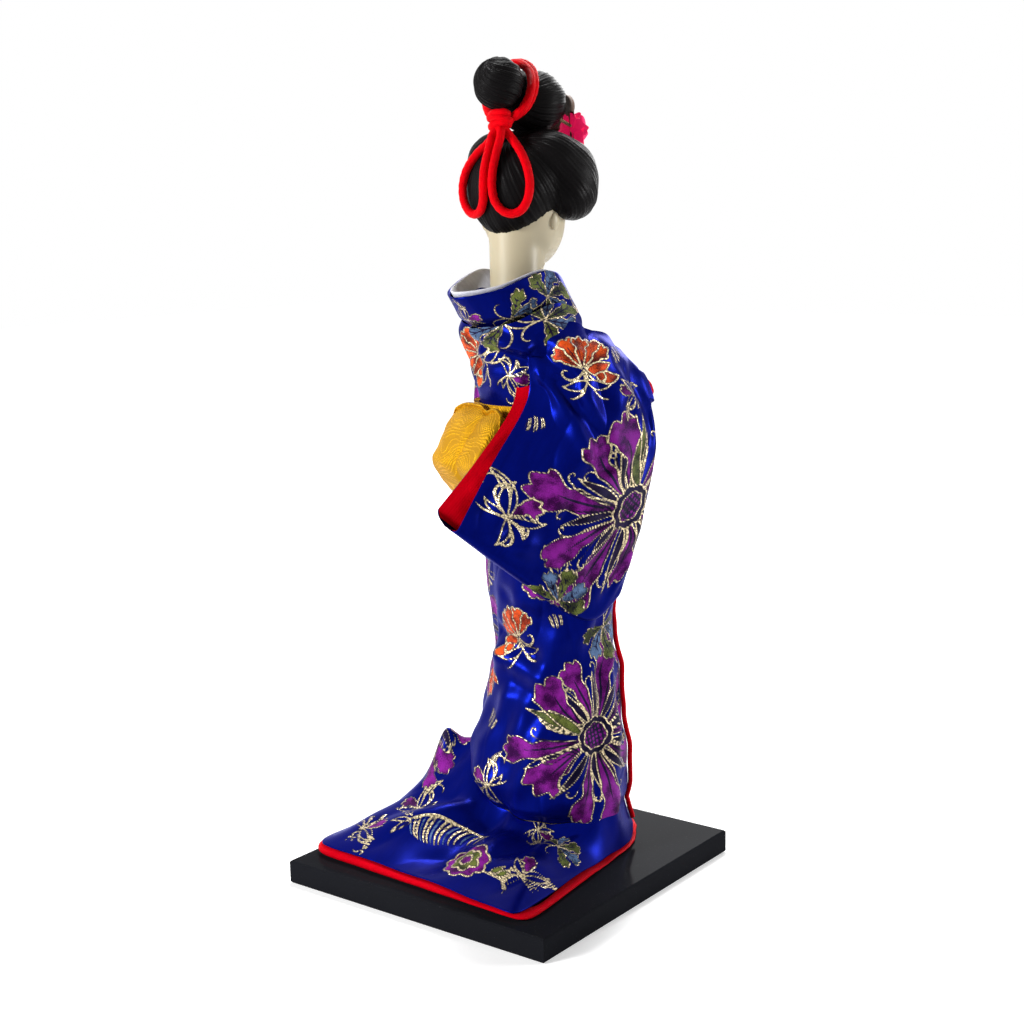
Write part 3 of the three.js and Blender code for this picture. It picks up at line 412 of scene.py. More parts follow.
def tube_patch(path: Array, radii: Array, around: int, swell: Swell | None = None) -> Patch:
    """A closed tube along a path, with rounded ends.

    The section at each point is a circle in the plane square to the path. Its frame is carried along
    by turning each section's first axis into the next section's plane.

    Args:
        path: Points of the centreline.
        radii: The radius at each point.
        around: Points round a section.
        swell: Gives the share added to the radius, from the distance along and the angle round.

    Returns:
        The tube's surface, with cloth coordinates along and round it.
    """
    tangent = unit(np.gradient(path, axis=0))
    side = np.zeros_like(path)
    first = np.cross(tangent[0], [0.0, 0.0, 1.0])
    side[0] = first if np.linalg.norm(first) > 0.1 else np.array([1.0, 0.0, 0.0])
    for i in range(1, len(path)):
        side[i] = side[i - 1] - tangent[i] * (side[i - 1] @ tangent[i])
    side = unit(side - tangent * np.einsum("ij,ij->i", side, tangent)[:, None])
    other = np.cross(tangent, side)
    angle = circle(around)
    run = run_lengths(path[:, None], 0)
    radius = radii[:, None] * np.ones(around)
    if swell is not None:
        radius = radius * (1 + swell(run, angle[None]))
    ring = side[:, None] * np.cos(angle)[None, :, None] + other[:, None] * np.sin(angle)[None, :, None]
    marks = cloth_marks(run, angle[None] * radii.mean())
    return solid(path[:, None] + ring * radius[..., None], marks)


def there_and_back(front: Array, back: Array) -> Array:
    """Rows that run down a thin plate's front and up its back to where they began."""
    return np.concatenate([front, back[::-1], front[:1]])


def cloth_marks(s: Array, t: Array, layer: float = 0.0) -> Marks:
    """Cloth coordinates from places along and across, and a number that sets a layer's threads apart."""
    return {"cloth": np.stack(np.broadcast_arrays(s, t, layer), axis=-1)}


def plain_marks(points: Array) -> Marks:
    """Cloth coordinates of a plain piece, measured along its rows and columns."""
    return cloth_marks(run_lengths(points, 1), run_lengths(points, 0))


def solid(points: Array, marks: Marks | None = None) -> Patch:
    """A closed tube or ball, with plain cloth coordinates where no marks are given."""
    return Patch(points, closed=True, capped=True, marks=marks or plain_marks(points))


# Materials
@dataclass
class Graph:
    """A node tree under construction."""

    tree: bpy.types.NodeTree

    def set(self, node: Node, **inputs: object) -> Node:
        """Sets a node's inputs.

        Args:
            node: The node.
            **inputs: Values or sockets, by input name with spaces as underscores, or by number as in0.

        Returns:
            The node.
        """
        for key, value in inputs.items():
            number = key.removeprefix("in")
            socket = node.inputs[int(number) if number.isdigit() else key.replace("_", " ")]
            if isinstance(value, Socket):
                self.tree.links.new(value, socket)
            else:
                socket.default_value = value
        return node

    def node(self, kind: str, settings: dict | None = None, **inputs: object) -> Node:
        """Adds a node.

        Args:
            kind: The node's Blender type.
            settings: Its own settings.
            **inputs: Values or sockets, named as in set.

        Returns:
            The node.
        """
        made = self.tree.nodes.new(kind)
        for key, value in (settings or {}).items():
            setattr(made, key, value)
        return self.set(made, **inputs)

    def math(self, operation: str, a: object, b: object = 0.0) -> Socket:
        """The result of a Math node on two values or sockets."""
        return self.node("ShaderNodeMath", {"operation": operation}, in0=a, in1=b).outputs[0]

    def plus(self, a: object, b: object) -> Socket:
        """The sum of two values or sockets."""
        return self.math("ADD", a, b)

    def times(self, a: object, b: object) -> Socket:
        """The product of two values or sockets."""
        return self.math("MULTIPLY", a, b)

    def blend(self, share: object, a: object, b: object) -> Socket:
        """The colour that is share of the way from a to b."""
        return self.node("ShaderNodeMix", {"data_type": "RGBA"}, in0=share, in6=a, in7=b).outputs[2]

    def remap(self, value: object, low: float, high: float, to_low: float, to_high: float) -> Socket:
        """A value moved smoothly from one range to another, and held at its ends."""
        inputs = {"in0": value, "in1": low, "in2": high, "in3": to_low, "in4": to_high}
        return self.node("ShaderNodeMapRange", {"interpolation_type": "SMOOTHSTEP"}, **inputs).outputs[0]

    def noise(self, vector: object, scale: object, detail: float = 3.0, roughness: float = 0.5) -> Socket:
        """The value of a Noise Texture."""
        inputs = {"Vector": vector, "Scale": scale, "Detail": detail, "Roughness": roughness}
        return self.node("ShaderNodeTexNoise", **inputs).outputs[0]

    def stretch(self, vector: object, x: float, y: float) -> Socket:
        """Coordinates multiplied along their first two axes."""
        return self.node("ShaderNodeMapping", in0=vector, in3=(x, y, 1.0)).outputs[0]

    def place(self, effect: "Effect", **inputs: object) -> tuple[Socket, Socket]:
        """Adds a shared effect and gives its two outputs."""
        made = self.node("ShaderNodeGroup", {"node_tree": effect.tree()}, **inputs)
        return made.outputs[0], made.outputs[1]

    def bump(self, height: object, strength: float, deep: float) -> Socket:
        """The normal of a height that stands out by a depth in metres."""
        return self.node("ShaderNodeBump", Strength=strength, Distance=deep, Height=height).outputs[0]

    def mark(self, name: str, output: str = "Fac") -> Socket:
        """The socket of one of the piece's own attributes."""
        return self.node("ShaderNodeAttribute", {"attribute_name": name}).outputs[output]

    def position(self) -> Socket:
        """Object coordinates."""
        return self.node("ShaderNodeTexCoord").outputs["Object"]


class Effect(Enum):
    """The effects that several finishes share: each a node group's name, inputs and outputs."""

    WEAVE = ("woven_threads", {"Cloth": None, "Thread": 0.3}, ("Height", "Shade"))
    FIBRE = ("combed_fibres", {"Comb": None, "Strands": 3.0}, ("Height", "Shade"))
    AGE = ("soft_unevenness", {"Position": None, "Clouds": 40.0}, ("Clouds", "Specks"))

    def tree(self) -> bpy.types.NodeTree:
        """The effect's node group, made on first use. An input without a default is a vector."""
        name, inputs, outputs = self.value
        made = bpy.data.node_groups.get(name)
        if made is None:
            made = bpy.data.node_groups.new(name, "ShaderNodeTree")
            for key, value in inputs.items():
                kind = "NodeSocketVector" if value is None else "NodeSocketFloat"
                socket = made.interface.new_socket(name=key, in_out="INPUT", socket_type=kind)
                if value is not None:
                    socket.default_value = value
            for key in outputs:
                made.interface.new_socket(name=key, in_out="OUTPUT", socket_type="NodeSocketFloat")
            given, out = made.nodes.new("NodeGroupInput"), made.nodes.new("NodeGroupOutput")
            build = {Effect.WEAVE: build_weave, Effect.FIBRE: build_fibre, Effect.AGE: build_age}[self]
            for result, socket in zip(build(Graph(made), given.outputs[0], given.outputs[1]), out.inputs):
                made.links.new(result, socket)
        return made


def build_weave(graph: Graph, cloth: Socket, thread: Socket) -> tuple[Socket, Socket]:
    """Threads over and under one another: the product of two sine waves along the cloth's two directions.

    Args:
        graph: The empty group.
        cloth: The cloth coordinates.
        thread: The length of a thread's wave.

    Returns:
        The height and the shade.
    """
    parts = graph.node("ShaderNodeSeparateXYZ", in0=cloth)
    pitch = graph.math("DIVIDE", math.tau, thread)
    warp, weft = (graph.math("SINE", graph.times(parts.outputs[k], pitch)) for k in (0, 1))
    uneven = graph.noise(graph.stretch(cloth, 0.6, 0.12), 1.0)
    return graph.plus(graph.times(warp, weft), graph.times(uneven, 0.5)), uneven


def build_fibre(graph: Graph, comb: Socket, strands: Socket) -> tuple[Socket, Socket]:
    """Fine strands side by side: noise drawn out along the strands.

    Args:
        graph: The empty group.
        comb: Coordinates across and along the strands.
        strands: How dense they are.

    Returns:
        The height and the shade.
    """
    settings = {"operation": "SCALE"}
    drawn = graph.node("ShaderNodeVectorMath", settings, in0=graph.stretch(comb, 1.0, 0.06), in3=strands)
    fine = graph.noise(drawn.outputs[0], 1.0, 4.0, 0.7)
    locks = graph.noise(graph.stretch(comb, 0.35, 0.03), 1.0, 2.0)
    return graph.plus(fine, graph.times(locks, 1.5)), locks


def build_age(graph: Graph, position: Socket, clouds: Socket) -> tuple[Socket, Socket]:
    """Cloudy unevenness and sparse specks on Object coordinates.

    Args:
        graph: The empty group.
        position: Object coordinates.
        clouds: The clouds' scale.

    Returns:
        The clouds and the specks.
    """
    grain = graph.noise(position, 1400.0, 2.0)
    return graph.noise(position, clouds, 4.0), graph.remap(grain, 0.66, 0.74, 0.0, 1.0)


def rgba(colour: Colour, share: float = 1.0) -> tuple[float, float, float, float]:
    """A colour made darker or lighter by a share, with full cover."""
    return (*(min(c * share, 1.0) for c in colour), 1.0)


@dataclass(frozen=True)
class Finish:
    """What a piece is made of: the record's slot and the shader's plain values."""

    name: str
    slot: str
    colour: Colour
    roughness: float = 0.5

    def material(self) -> bpy.types.Material:
        """The finish's material, made on first use."""
        made = bpy.data.materials.get(self.name)
        if made is None:
            made = bpy.data.materials.new(self.name)
            made.use_nodes = True
            graph, shader = Graph(made.node_tree), made.node_tree.nodes["Principled BSDF"]
            self.build(graph, graph.set(shader, Base_Color=self.tint(), Roughness=self.roughness))
        return made

    def tint(self, share: float = 1.0) -> tuple[float, float, float, float]:
        """The finish's colour, made darker or lighter by a share."""
        return rgba(self.colour, share)

    def build(self, graph: Graph, shader: Node) -> None:
        """Adds the finish's own nodes. The plain finish has cloudy colour and a soft bump.

        Args:
            graph: The material's nodes.
            shader: Its Principled BSDF.
        """
        clouds, _ = graph.place(Effect.AGE, Position=graph.position(), Clouds=90.0)
        colour = graph.blend(clouds, self.tint(0.86), self.tint(1.08))
        graph.set(shader, Base_Color=colour, Normal=graph.bump(clouds, 0.15, 0.0002))


@dataclass(frozen=True)
class Brocade(Finish):
    """Satin with flowers woven in: purple, orange, olive, silver, dark and gold threads over the ground."""

    shine: float = 0.45
    gold: Colour = (0.85, 0.7, 0.42)
    black: Colour = (0.012, 0.01, 0.02)
    threads: tuple[tuple[str, Colour], ...] = (
        ("purple", (0.11, 0.007, 0.125)), ("orange", (0.42, 0.05, 0.006)), ("olive", (0.075, 0.09, 0.018)),
        ("silver", (0.06, 0.1, 0.18)), ("dark", (0.01, 0.006, 0.018)),
    )

    def build(self, graph: Graph, shader: Node) -> None:
        """Lays each thread's colour over the ground where its distance is below zero, in random dark and bright
        patches that paint the threads' sheen and shade.
        """
        cloth = graph.mark("cloth", "Vector")
        fine, shade = graph.place(Effect.WEAVE, Cloth=cloth, Thread=0.36)
        coarse, _ = graph.place(Effect.WEAVE, Cloth=graph.stretch(cloth, 1.0, 0.7), Thread=0.8)
        # Random patches where each thread's colour swings between a dark copy and a bright copy: painted sheen
        # and shade of the satin threads.
        broad = graph.times(graph.noise(cloth, 0.16, 2.0), 0.7)
        specks = graph.plus(graph.times(graph.noise(cloth, 2.1, 2.0, 0.65), 0.3), broad)
        painted_sheen = graph.remap(specks, 0.38, 0.62, 0.0, 1.0)
        ground, raised = graph.blend(shade, self.tint(0.8), self.tint(1.2)), 0.0
        for name, colour in self.threads:
            share = graph.remap(graph.mark(name), -0.12, 0.12, 1.0, 0.0)
            ground = graph.blend(share, ground, graph.blend(painted_sheen, rgba(colour, 0.3), rgba(colour, 2.2)))
            raised = graph.math("MAXIMUM", raised, share)
        distance = graph.mark("gold")
        ground = graph.blend(graph.remap(distance, 0.0, 0.4, 0.85, 0.0), ground, rgba(self.black))
        gilt = graph.remap(distance, -0.1, 0.12, 1.0, 0.0)
        glint = graph.remap(graph.noise(cloth, 1.3, 1.0), 0.36, 0.6, 0.0, 1.0)
        metal = graph.blend(glint, rgba(self.gold, 0.22), rgba(self.gold))
        satin = graph.remap(raised, 0.0, 1.0, self.shine, 0.0)
        matte = graph.plus(graph.remap(raised, 0.0, 1.0, self.roughness, 0.5), graph.times(gilt, -0.06))
        relief = graph.plus(graph.times(raised, 0.6), gilt)
        threads = graph.plus(graph.times(graph.times(coarse, 0.5), relief), graph.times(fine, 0.05))
        graph.set(
            shader, Base_Color=graph.blend(gilt, ground, metal), Roughness=matte,
            Metallic=graph.math("MAXIMUM", satin, graph.times(gilt, 0.7)),
            Normal=graph.bump(graph.plus(relief, threads), 0.7, 0.00012),
            Specular_IOR_Level=0.12, Specular_Tint=(0.03, 0.12, 1.0, 1.0),
        )


@dataclass(frozen=True)
class PlainCloth(Finish):
    """Cloth of one colour, with its weave and a faint nap."""

    thread: float = 0.4
    deep: float = 0.00008
    nap: float = 0.25

    def build(self, graph: Graph, shader: Node) -> None:
        """Shades the colour along the threads and raises the weave."""
        height, shade = graph.place(Effect.WEAVE, Cloth=graph.mark("cloth", "Vector"), Thread=self.thread)
        graph.set(
            shader, Base_Color=graph.blend(shade, self.tint(0.78), self.tint(1.15)),
            Normal=graph.bump(height, 0.5, self.deep), Specular_IOR_Level=0.15, Specular_Tint=self.tint(),
            Sheen_Weight=self.nap, Sheen_Tint=self.tint(1.6),
        )


@dataclass(frozen=True)
class GoldBrocade(Finish):
    """Metallic gold cloth with flowing raised lines."""

    shadow: Colour = (0.42, 0.2, 0.012)

    def build(self, graph: Graph, shader: Node) -> None:
        """Raises and brightens the flowing lines over a finely ribbed ground."""
        cloth = graph.mark("cloth", "Vector")
        ribs, _ = graph.place(Effect.WEAVE, Cloth=graph.stretch(cloth, 1.0, 0.6), Thread=0.42)
        lines = graph.remap(graph.mark("flow"), -0.14, 0.16, 1.0, 0.0)
        ground = graph.blend(graph.noise(cloth, 1.3), rgba(self.shadow), self.tint(0.85))
        threads = graph.remap(graph.noise(cloth, 2.2, 1.0), 0.36, 0.6, 0.0, 1.0)
        bright = graph.blend(threads, self.tint(0.75), self.tint(1.4))
        graph.set(
            shader, Base_Color=graph.blend(lines, ground, bright), Metallic=0.3,
            Roughness=graph.remap(lines, 0.0, 1.0, 0.5, 0.38),
            Normal=graph.bump(graph.plus(graph.times(ribs, 0.3), lines), 0.8, 0.00016),
            Specular_IOR_Level=0.25, Specular_Tint=self.tint(),
        )


@dataclass(frozen=True)
class Hair(Finish):
    """Combed and waxed black floss."""

    def build(self, graph: Graph, shader: Node) -> None:
        """Draws the strands along the comb's direction."""
        height, shade = graph.place(Effect.FIBRE, Comb=graph.mark("cloth", "Vector"), Strands=2.6)
        graph.set(
            shader, Base_Color=graph.blend(shade, self.tint(0.5), self.tint(2.4)),
            Roughness=graph.remap(shade, 0.3, 0.7, 0.42, 0.26), Normal=graph.bump(height, 0.6, 0.0003),
            Specular_IOR_Level=0.04,
        )


@dataclass(frozen=True)
class Lacquer(Finish):
    """Deep gloss over its ground, with fine dust."""

    clouds: float = 30.0
    glance: float = 0.3
    bend: float = 1.5

    def build(self, graph: Graph, shader: Node) -> None:
        """Adds dust specks to the colour and unevenness to the gloss."""
        clouds, specks = graph.place(Effect.AGE, Position=graph.position(), Clouds=self.clouds)
        base = graph.blend(clouds, self.tint(0.8), self.tint(1.3))
        graph.set(
            shader, Base_Color=graph.blend(graph.times(specks, 0.06), base, rgba((0.2, 0.2, 0.21))),
            Roughness=graph.remap(clouds, 0.3, 0.7, self.roughness, self.roughness * 1.5),
            Specular_IOR_Level=self.glance, IOR=self.bend,
        )


@dataclass(frozen=True)
class Skin(Finish):
    """Satin ivory shell lacquer, with painted eyes, brows, lips and a breath of rouge."""

    paints: tuple[tuple[str, Colour], ...] = (
        ("rouge", (0.83, 0.4, 0.32)), ("eye_white", (0.86, 0.85, 0.82)), ("iris", (0.02, 0.012, 0.01)),
        ("brow", (0.05, 0.04, 0.04)), ("lip", (0.5, 0.01, 0.02)),
    )

    def build(self, graph: Graph, shader: Node) -> None:
        """Lays the paints over the ivory where their marks are above zero."""
        clouds, _ = graph.place(Effect.AGE, Position=graph.position(), Clouds=60.0)
        colour = graph.blend(clouds, self.tint(0.95), self.tint(1.03))
        for name, paint in self.paints:
            colour = graph.blend(graph.mark(name), colour, rgba(paint))
        graph.set(
            shader, Base_Color=colour, Roughness=graph.remap(clouds, 0.3, 0.7, 0.36, 0.46),
            Normal=graph.bump(clouds, 0.08, 0.0002), Subsurface_Weight=0.08,
            Subsurface_Radius=(0.004, 0.002, 0.001),
        )

    def blank(self, points: Array) -> Marks:
        """The marks of a surface without paint."""
        return {name: np.zeros(points.shape[:2]) for name, _ in self.paints}


@dataclass(frozen=True)
class Petal(Finish):
    """Starched silk petals, paler towards their edges, with fine veins and a faint painted glow."""

    edge: Colour = (1.0, 0.06, 0.26)

    def build(self, graph: Graph, shader: Node) -> None:
        """Blends from the heart's colour to the edge's, and makes the petals glow faintly in their own pink:
        painted light that brightens them in the hair's shade.
        """
        cloth = graph.mark("cloth", "Vector")
        reach = graph.node("ShaderNodeSeparateXYZ", in0=cloth).outputs[0]
        height, shade = graph.place(Effect.FIBRE, Comb=graph.stretch(cloth, 0.2, 4.0), Strands=3.0)
        share = graph.times(graph.remap(reach, 3.0, 7.0, 0.0, 1.0), shade)
        # The emission is painted light: the petals glow in their own pink, though they are no lamp.
        graph.set(
            shader, Base_Color=graph.blend(share, self.tint(), rgba(self.edge)),
            Normal=graph.bump(height, 0.4, 0.0001), Emission_Color=self.tint(), Emission_Strength=0.45,
        )


SILK_BLUE = Brocade("royal_blue_brocade", "blue_brocade", (0.0010, 0.0036, 0.118), 0.3)
LINING_RED = PlainCloth("scarlet_crepe", "red_lining", (0.62, 0.0, 0.008), 0.6, 0.55, 0.00012, 0.0)
SASH_GOLD = GoldBrocade("gold_wave_brocade", "gold_brocade", (0.6, 0.31, 0.008), 0.42)
CORD_RED = PlainCloth("scarlet_braid", "red_cord", (0.74, 0.001, 0.006), 0.5, 0.5, 0.00015, 0.0)
SCARF_RED = PlainCloth("dimpled_scarf_silk", "red_scarf", (0.72, 0.01, 0.04), 0.6, 1.3, 0.0005)
COLLAR_WHITE = PlainCloth("white_satin", "white_silk", (0.72, 0.72, 0.8), 0.42, 0.35)
ARM_WRAP = PlainCloth("paper_wrap", "arm_wrap", (0.7, 0.68, 0.66), 0.8, 3.0, 0.0003, 0.0)
HAIR_BLACK = Hair("combed_black_floss", "black_hair", (0.0032, 0.0028, 0.003), 0.32)
IVORY = Skin("ivory_shell_lacquer", "skin", (0.49, 0.425, 0.285), 0.4)
BOARD_BLACK = Lacquer("black_board_lacquer", "lacquer", (0.01, 0.0105, 0.013), 0.1, glance=0.5, bend=1.035)
COMB_BROWN = Lacquer("smoked_comb", "comb", (0.2, 0.13, 0.1), 0.35, clouds=260.0)
SCREW_STEEL = Lacquer("zinc_screw", "steel", (0.35, 0.36, 0.38), 0.3, clouds=300.0)
PIN_WOOD = Finish("pale_turned_wood", "pale_wood", (0.6, 0.42, 0.22), 0.65)
UNDER_CLOTH = Finish("white_under_cloth", "core", (0.62, 0.61, 0.6), 0.85)
STRAW = Finish("pressed_straw", "core", (0.5, 0.36, 0.14), 0.85)
PETAL_PINK = Petal("pink_silk_petal", "petals", (0.95, 0.008, 0.11), 0.6)


# The woven pattern
CLEAR = 4.0  # a thread's distance where none is near


class Thread(Enum):
    """The threads of the brocade's flowers, by the name of their mark."""

    GOLD = "gold"
    PURPLE = "purple"
    ORANGE = "orange"
    OLIVE = "olive"
    SILVER = "silver"
    DARK = "dark"


@dataclass(frozen=True)
class Spot:
    """Where a motif lies on the cloth, how it is turned and how large it is."""

    s: float
    t: float
    turn: float
    scale: float

    def out(self, points: Array) -> Array:
        """A motif's points on the cloth."""
        (x, y), cos, sin = points.T * self.scale, *polar(1.0, math.radians(self.turn))
        return np.stack([self.s + x * cos - y * sin, self.t + x * sin + y * cos], axis=-1)


def nearest_on(x: Array, y: Array, a: Array, b: Array) -> tuple[Array, Array]:
    """The distances from points to straight pieces, and the share of each piece at its nearest place.

    Args:
        x: The points' first coordinates.
        y: Their second coordinates.
        a: The pieces' starts.
        b: Their ends.

    Returns:
        Distances and shares, points by pieces.
    """
    px, py = x[:, None] - a[:, 0], y[:, None] - a[:, 1]
    dx, dy = (b - a).T
    share = np.clip((px * dx + py * dy) / np.maximum(dx**2 + dy**2, 1e-12), 0, 1)
    return np.hypot(px - share * dx, py - share * dy), share


def outline_distance(x: Array, y: Array, ring: Array) -> Array:
    """Distance to a closed outline, negative inside it.

    Args:
        x: First coordinates.
        y: Second coordinates.
        ring: The outline's corners.

    Returns:
        The nearest of the distances to its sides, with its sign from how many sides lie to the right.
    """
    a, b = ring, np.roll(ring, -1, axis=0)
    near = nearest_on(x, y, a, b)[0].min(axis=1)
    spans = (a[:, 1] > y[:, None]) != (b[:, 1] > y[:, None])
    dx, dy = (b - a).T
    right = x[:, None] - a[:, 0] < dx * (y[:, None] - a[:, 1]) / np.where(np.abs(dy) < 1e-9, 1e-9, dy)
    return np.where((spans & right).sum(axis=1) % 2 == 1, -near, near)


def path_distance(x: Array, y: Array, path: Array, half: Array) -> Array:
    """Distance to a tapering line, negative inside it.

    Args:
        x: First coordinates.
        y: Second coordinates.
        path: The line's points.
        half: Half the line's width at each point.

    Returns:
        The least, over the line's pieces, of the distance less the half width there.
    """
    gap, share = nearest_on(x, y, path[:-1], path[1:])
    return (gap - half[:-1] - share * np.diff(half)).min(axis=1)


def polar(radius: Array, angle: Array) -> Array:
    """Flat points at radii and angles."""
    return np.stack([radius * np.cos(angle), radius * np.sin(angle)], axis=-1)


def curl(length: float, bend: float, hook: float, start: Array = (0, 0), heading: float = 0.0) -> Array:
    """A line that bends evenly and then hooks into a curl.

    Its heading is the start's plus bend times the share covered, plus hook times that share cubed.

    Args:
        length: The line's length.
        bend: How far it turns on the whole, in radians.
        hook: The extra turn that gathers towards its end, in radians.
        start: Where it starts.
        heading: Its first direction, in radians.

    Returns:
        The line's points.
    """
    t = np.linspace(0, 1, 22)
    steps = polar(length / 21, heading + bend * t + hook * t**3)
    return np.array(start, float) + np.concatenate([[[0, 0]], np.cumsum(steps[:-1], axis=0)])


def ways(spine: Array) -> tuple[Array, Array]:
    """A flat line's unit directions, along it and square to it."""
    along = unit(np.gradient(spine, axis=0))
    return along, np.stack([-along[:, 1], along[:, 0]], axis=1)


def leaf(length: float, wide: float, bend: float, start: Array = (0, 0), heading: float = 0.0) -> Array:
    """The outline of a pointed leaf: half width wide * sin(pi t^0.8) each side of a bent line."""
    spine = curl(length, bend, 0.0, start, heading)
    out = ways(spine)[1] * (wide * np.sin(math.pi * np.linspace(0, 1, len(spine))**0.8))[:, None]
    return np.concatenate([spine + out, (spine - out)[-2:0:-1]])


def petal(length: float, wide: float, bend: float, heading: float, start: float, phase: float) -> Array:
    """The outline of a petal that flares like a trumpet from a narrow foot to a scalloped mouth.

    Half the width grows from a sixth to the whole as smooth steps of the share covered, with ripples
    past its middle. The mouth stands out as |sin| scallops on a shallow arc.

    Args:
        length: From foot to mouth.
        wide: Half the width of the mouth.
        bend: How far it turns, in radians.
        heading: Its direction, in radians.
        start: How far the foot lies from the flower's centre.
        phase: Shifts the ripples and scallops.

    Returns:
        The outline's points.
    """
    spine = even_curve(curl(length, bend, 0.0, polar(start, heading), heading - bend / 3), 30)
    along, square = ways(spine)
    t, w = np.linspace(0, 1, 30), np.linspace(1, -1, 31)
    grow = 0.16 + 0.4 * smoothstep(t, 0, 0.6) + 0.44 * smoothstep(t, 0.62, 1.0)
    ripple = 0.1 * smoothstep(t, 0.35, 0.6)
    left = wide * (grow + ripple * np.sin(15 * t + phase))
    right = wide * (grow + ripple * np.sin(17 * t + 2.1 * phase + 1))
    lip = wide * (0.42 * np.abs(np.sin(3.6 * w + phase)) + 0.5 * (1 - w**2) - 0.1)
    reach = np.where(w > 0, left[-1], right[-1]) * w * (1 + 0.12 * np.sign(w) * np.sin(6 * w + phase))
    mouth = spine[-1] + square[-1] * reach[:, None] + along[-1] * lip[:, None]
    return np.concatenate([spine + square * left[:, None], mouth, (spine - square * right[:, None])[::-1]])


class WovenPattern:
    """The distances from a cloth's points to the threads woven into it, in millimetres."""

    def __init__(self, s: Array, t: Array) -> None:
        """Starts with plain ground.

        Args:
            s: Each point's place along the cloth.
            t: Its place across the cloth.
        """
        self.shape, self.s, self.t = s.shape, s.ravel(), t.ravel()
        self.distance = {thread: np.full(s.size, CLEAR) for thread in Thread}
        self.spot = Spot(0, 0, 0, 1)

    def near(self, points: Array) -> Array:
        """Numbers of the cloth's points inside the box round some points, with a margin."""
        margin = 2.0
        low, high = points.min(axis=0) - margin, points.max(axis=0) + margin
        return np.flatnonzero((self.s > low[0]) & (self.s < high[0]) & (self.t > low[1]) & (self.t < high[1]))

    def draw(self, thread: Thread, at: Array, gap: Array) -> None:
        """Lowers a thread's distances at some of the cloth's points."""
        self.distance[thread][at] = np.minimum(self.distance[thread][at], gap)

    def fill(self, ring: Array, thread: Thread | None, edge: float) -> None:
        """Weaves a shape with a gold edge over what is there.

        Args:
            ring: Its outline in the motif.
            thread: The thread inside it, or None for plain ground.
            edge: Half the gold edge's width.
        """
        ring = self.spot.out(ring)
        at = self.near(ring)
        gap = outline_distance(self.s[at], self.t[at], ring)
        for other in Thread:
            self.distance[other][at] = np.maximum(self.distance[other][at], -gap)
        if thread:
            self.draw(thread, at, gap)
        self.draw(Thread.GOLD, at, np.abs(gap) - edge * self.spot.scale)

    def line(self, path: Array, half: float, taper: float = 0.35, thread: Thread = Thread.GOLD) -> None:
        """Weaves a line that thins towards its ends.

        Args:
            path: The line in the motif.
            half: Half its width at the middle.
            taper: The share of that width left at the ends.
            thread: Its thread.
        """
        path = self.spot.out(path)
        at = self.near(path)
        slim = taper + (1 - taper) * np.sin(math.pi * np.linspace(0, 1, len(path)))**0.7
        self.draw(thread, at, path_distance(self.s[at], self.t[at], path, half * self.spot.scale * slim))

    def marks(self) -> Marks:
        """The marks that the brocade's material reads."""
        return {thread.value: gap.reshape(self.shape) for thread, gap in self.distance.items()}


def weave_peony(cloth: WovenPattern) -> None:
    """A large flower: trumpet petals round a netted heart, with dark and olive blades between.

    Args:
        cloth: The cloth, at the spot where the motif goes.
    """
    count, edge = 10, 0.17
    for k in range(count):
        heading = math.tau * (k + 0.5 + 0.1 * math.sin(5.1 * k)) / count
        length, bend = 15 + 3.5 * math.sin(2.1 * k), 0.5 * math.sin(1.3 * k)
        cloth.fill(leaf(length, 1.15, bend, polar(5.2, heading), heading), Thread.DARK, edge)
    for k in range(count):
        heading = math.tau * (k + 0.15 * math.sin(2.7 * k)) / count
        bend, length = 0.5 * math.sin(1.9 * k + 0.6), 19.5 + 3.5 * math.sin(2.3 * k + 1.2)
        wide = 5.0 + 0.9 * math.cos(3.1 * k)
        cloth.fill(petal(length, wide, bend, heading, 5.0, 1.7 * k), Thread.PURPLE, edge)
        for side, share, half in ((-1, 0.62, 0.3), (0, 0.8, 0.36), (1, 0.68, 0.3)):
            start = polar(5.5, heading + 0.12 * side)
            vein = curl(length * share, bend + 0.25 * side, 0.0, start, heading - bend / 3 + 0.1 * side)
            cloth.line(vein, half, 0.3, Thread.DARK)
            if side > 0:
                cloth.line(vein + 0.35 * np.array([math.sin(heading), -math.cos(heading)]), 0.16)
            if side:
                cloth.line(curl(6.2, 1.5 * side, 4.2 * side, vein[-2], heading + 0.2 * side), 0.2, 0.5)
    for k in (-1, 0, 1):
        start = (5 * math.cos(1.35 + 0.3 * k), 5 * math.sin(1.35))
        cloth.fill(leaf(21 - 5 * abs(k), 1.5, 0.35 * k, start, 1.5 - 0.35 * k), Thread.OLIVE, edge)
    angle = circle(60)
    for radius, lobes, thread in ((5.6, 9, Thread.DARK), (3.9, 7, Thread.PURPLE)):
        cloth.fill(polar(radius * (1 + 0.12 * np.abs(np.sin(lobes * angle / 2))), angle), thread, 0.2)
    for k in range(-2, 3):
        for turn in (0.5, 2.1):
            way, shift = polar(1.0, turn), 1.4 * k
            mid = np.array([-way[1], way[0]]) * shift
            reach = math.sqrt(3.6**2 - shift**2)
            cloth.line(np.linspace(mid - reach * way, mid + reach * way, 5), 0.3, 1.0, Thread.DARK)


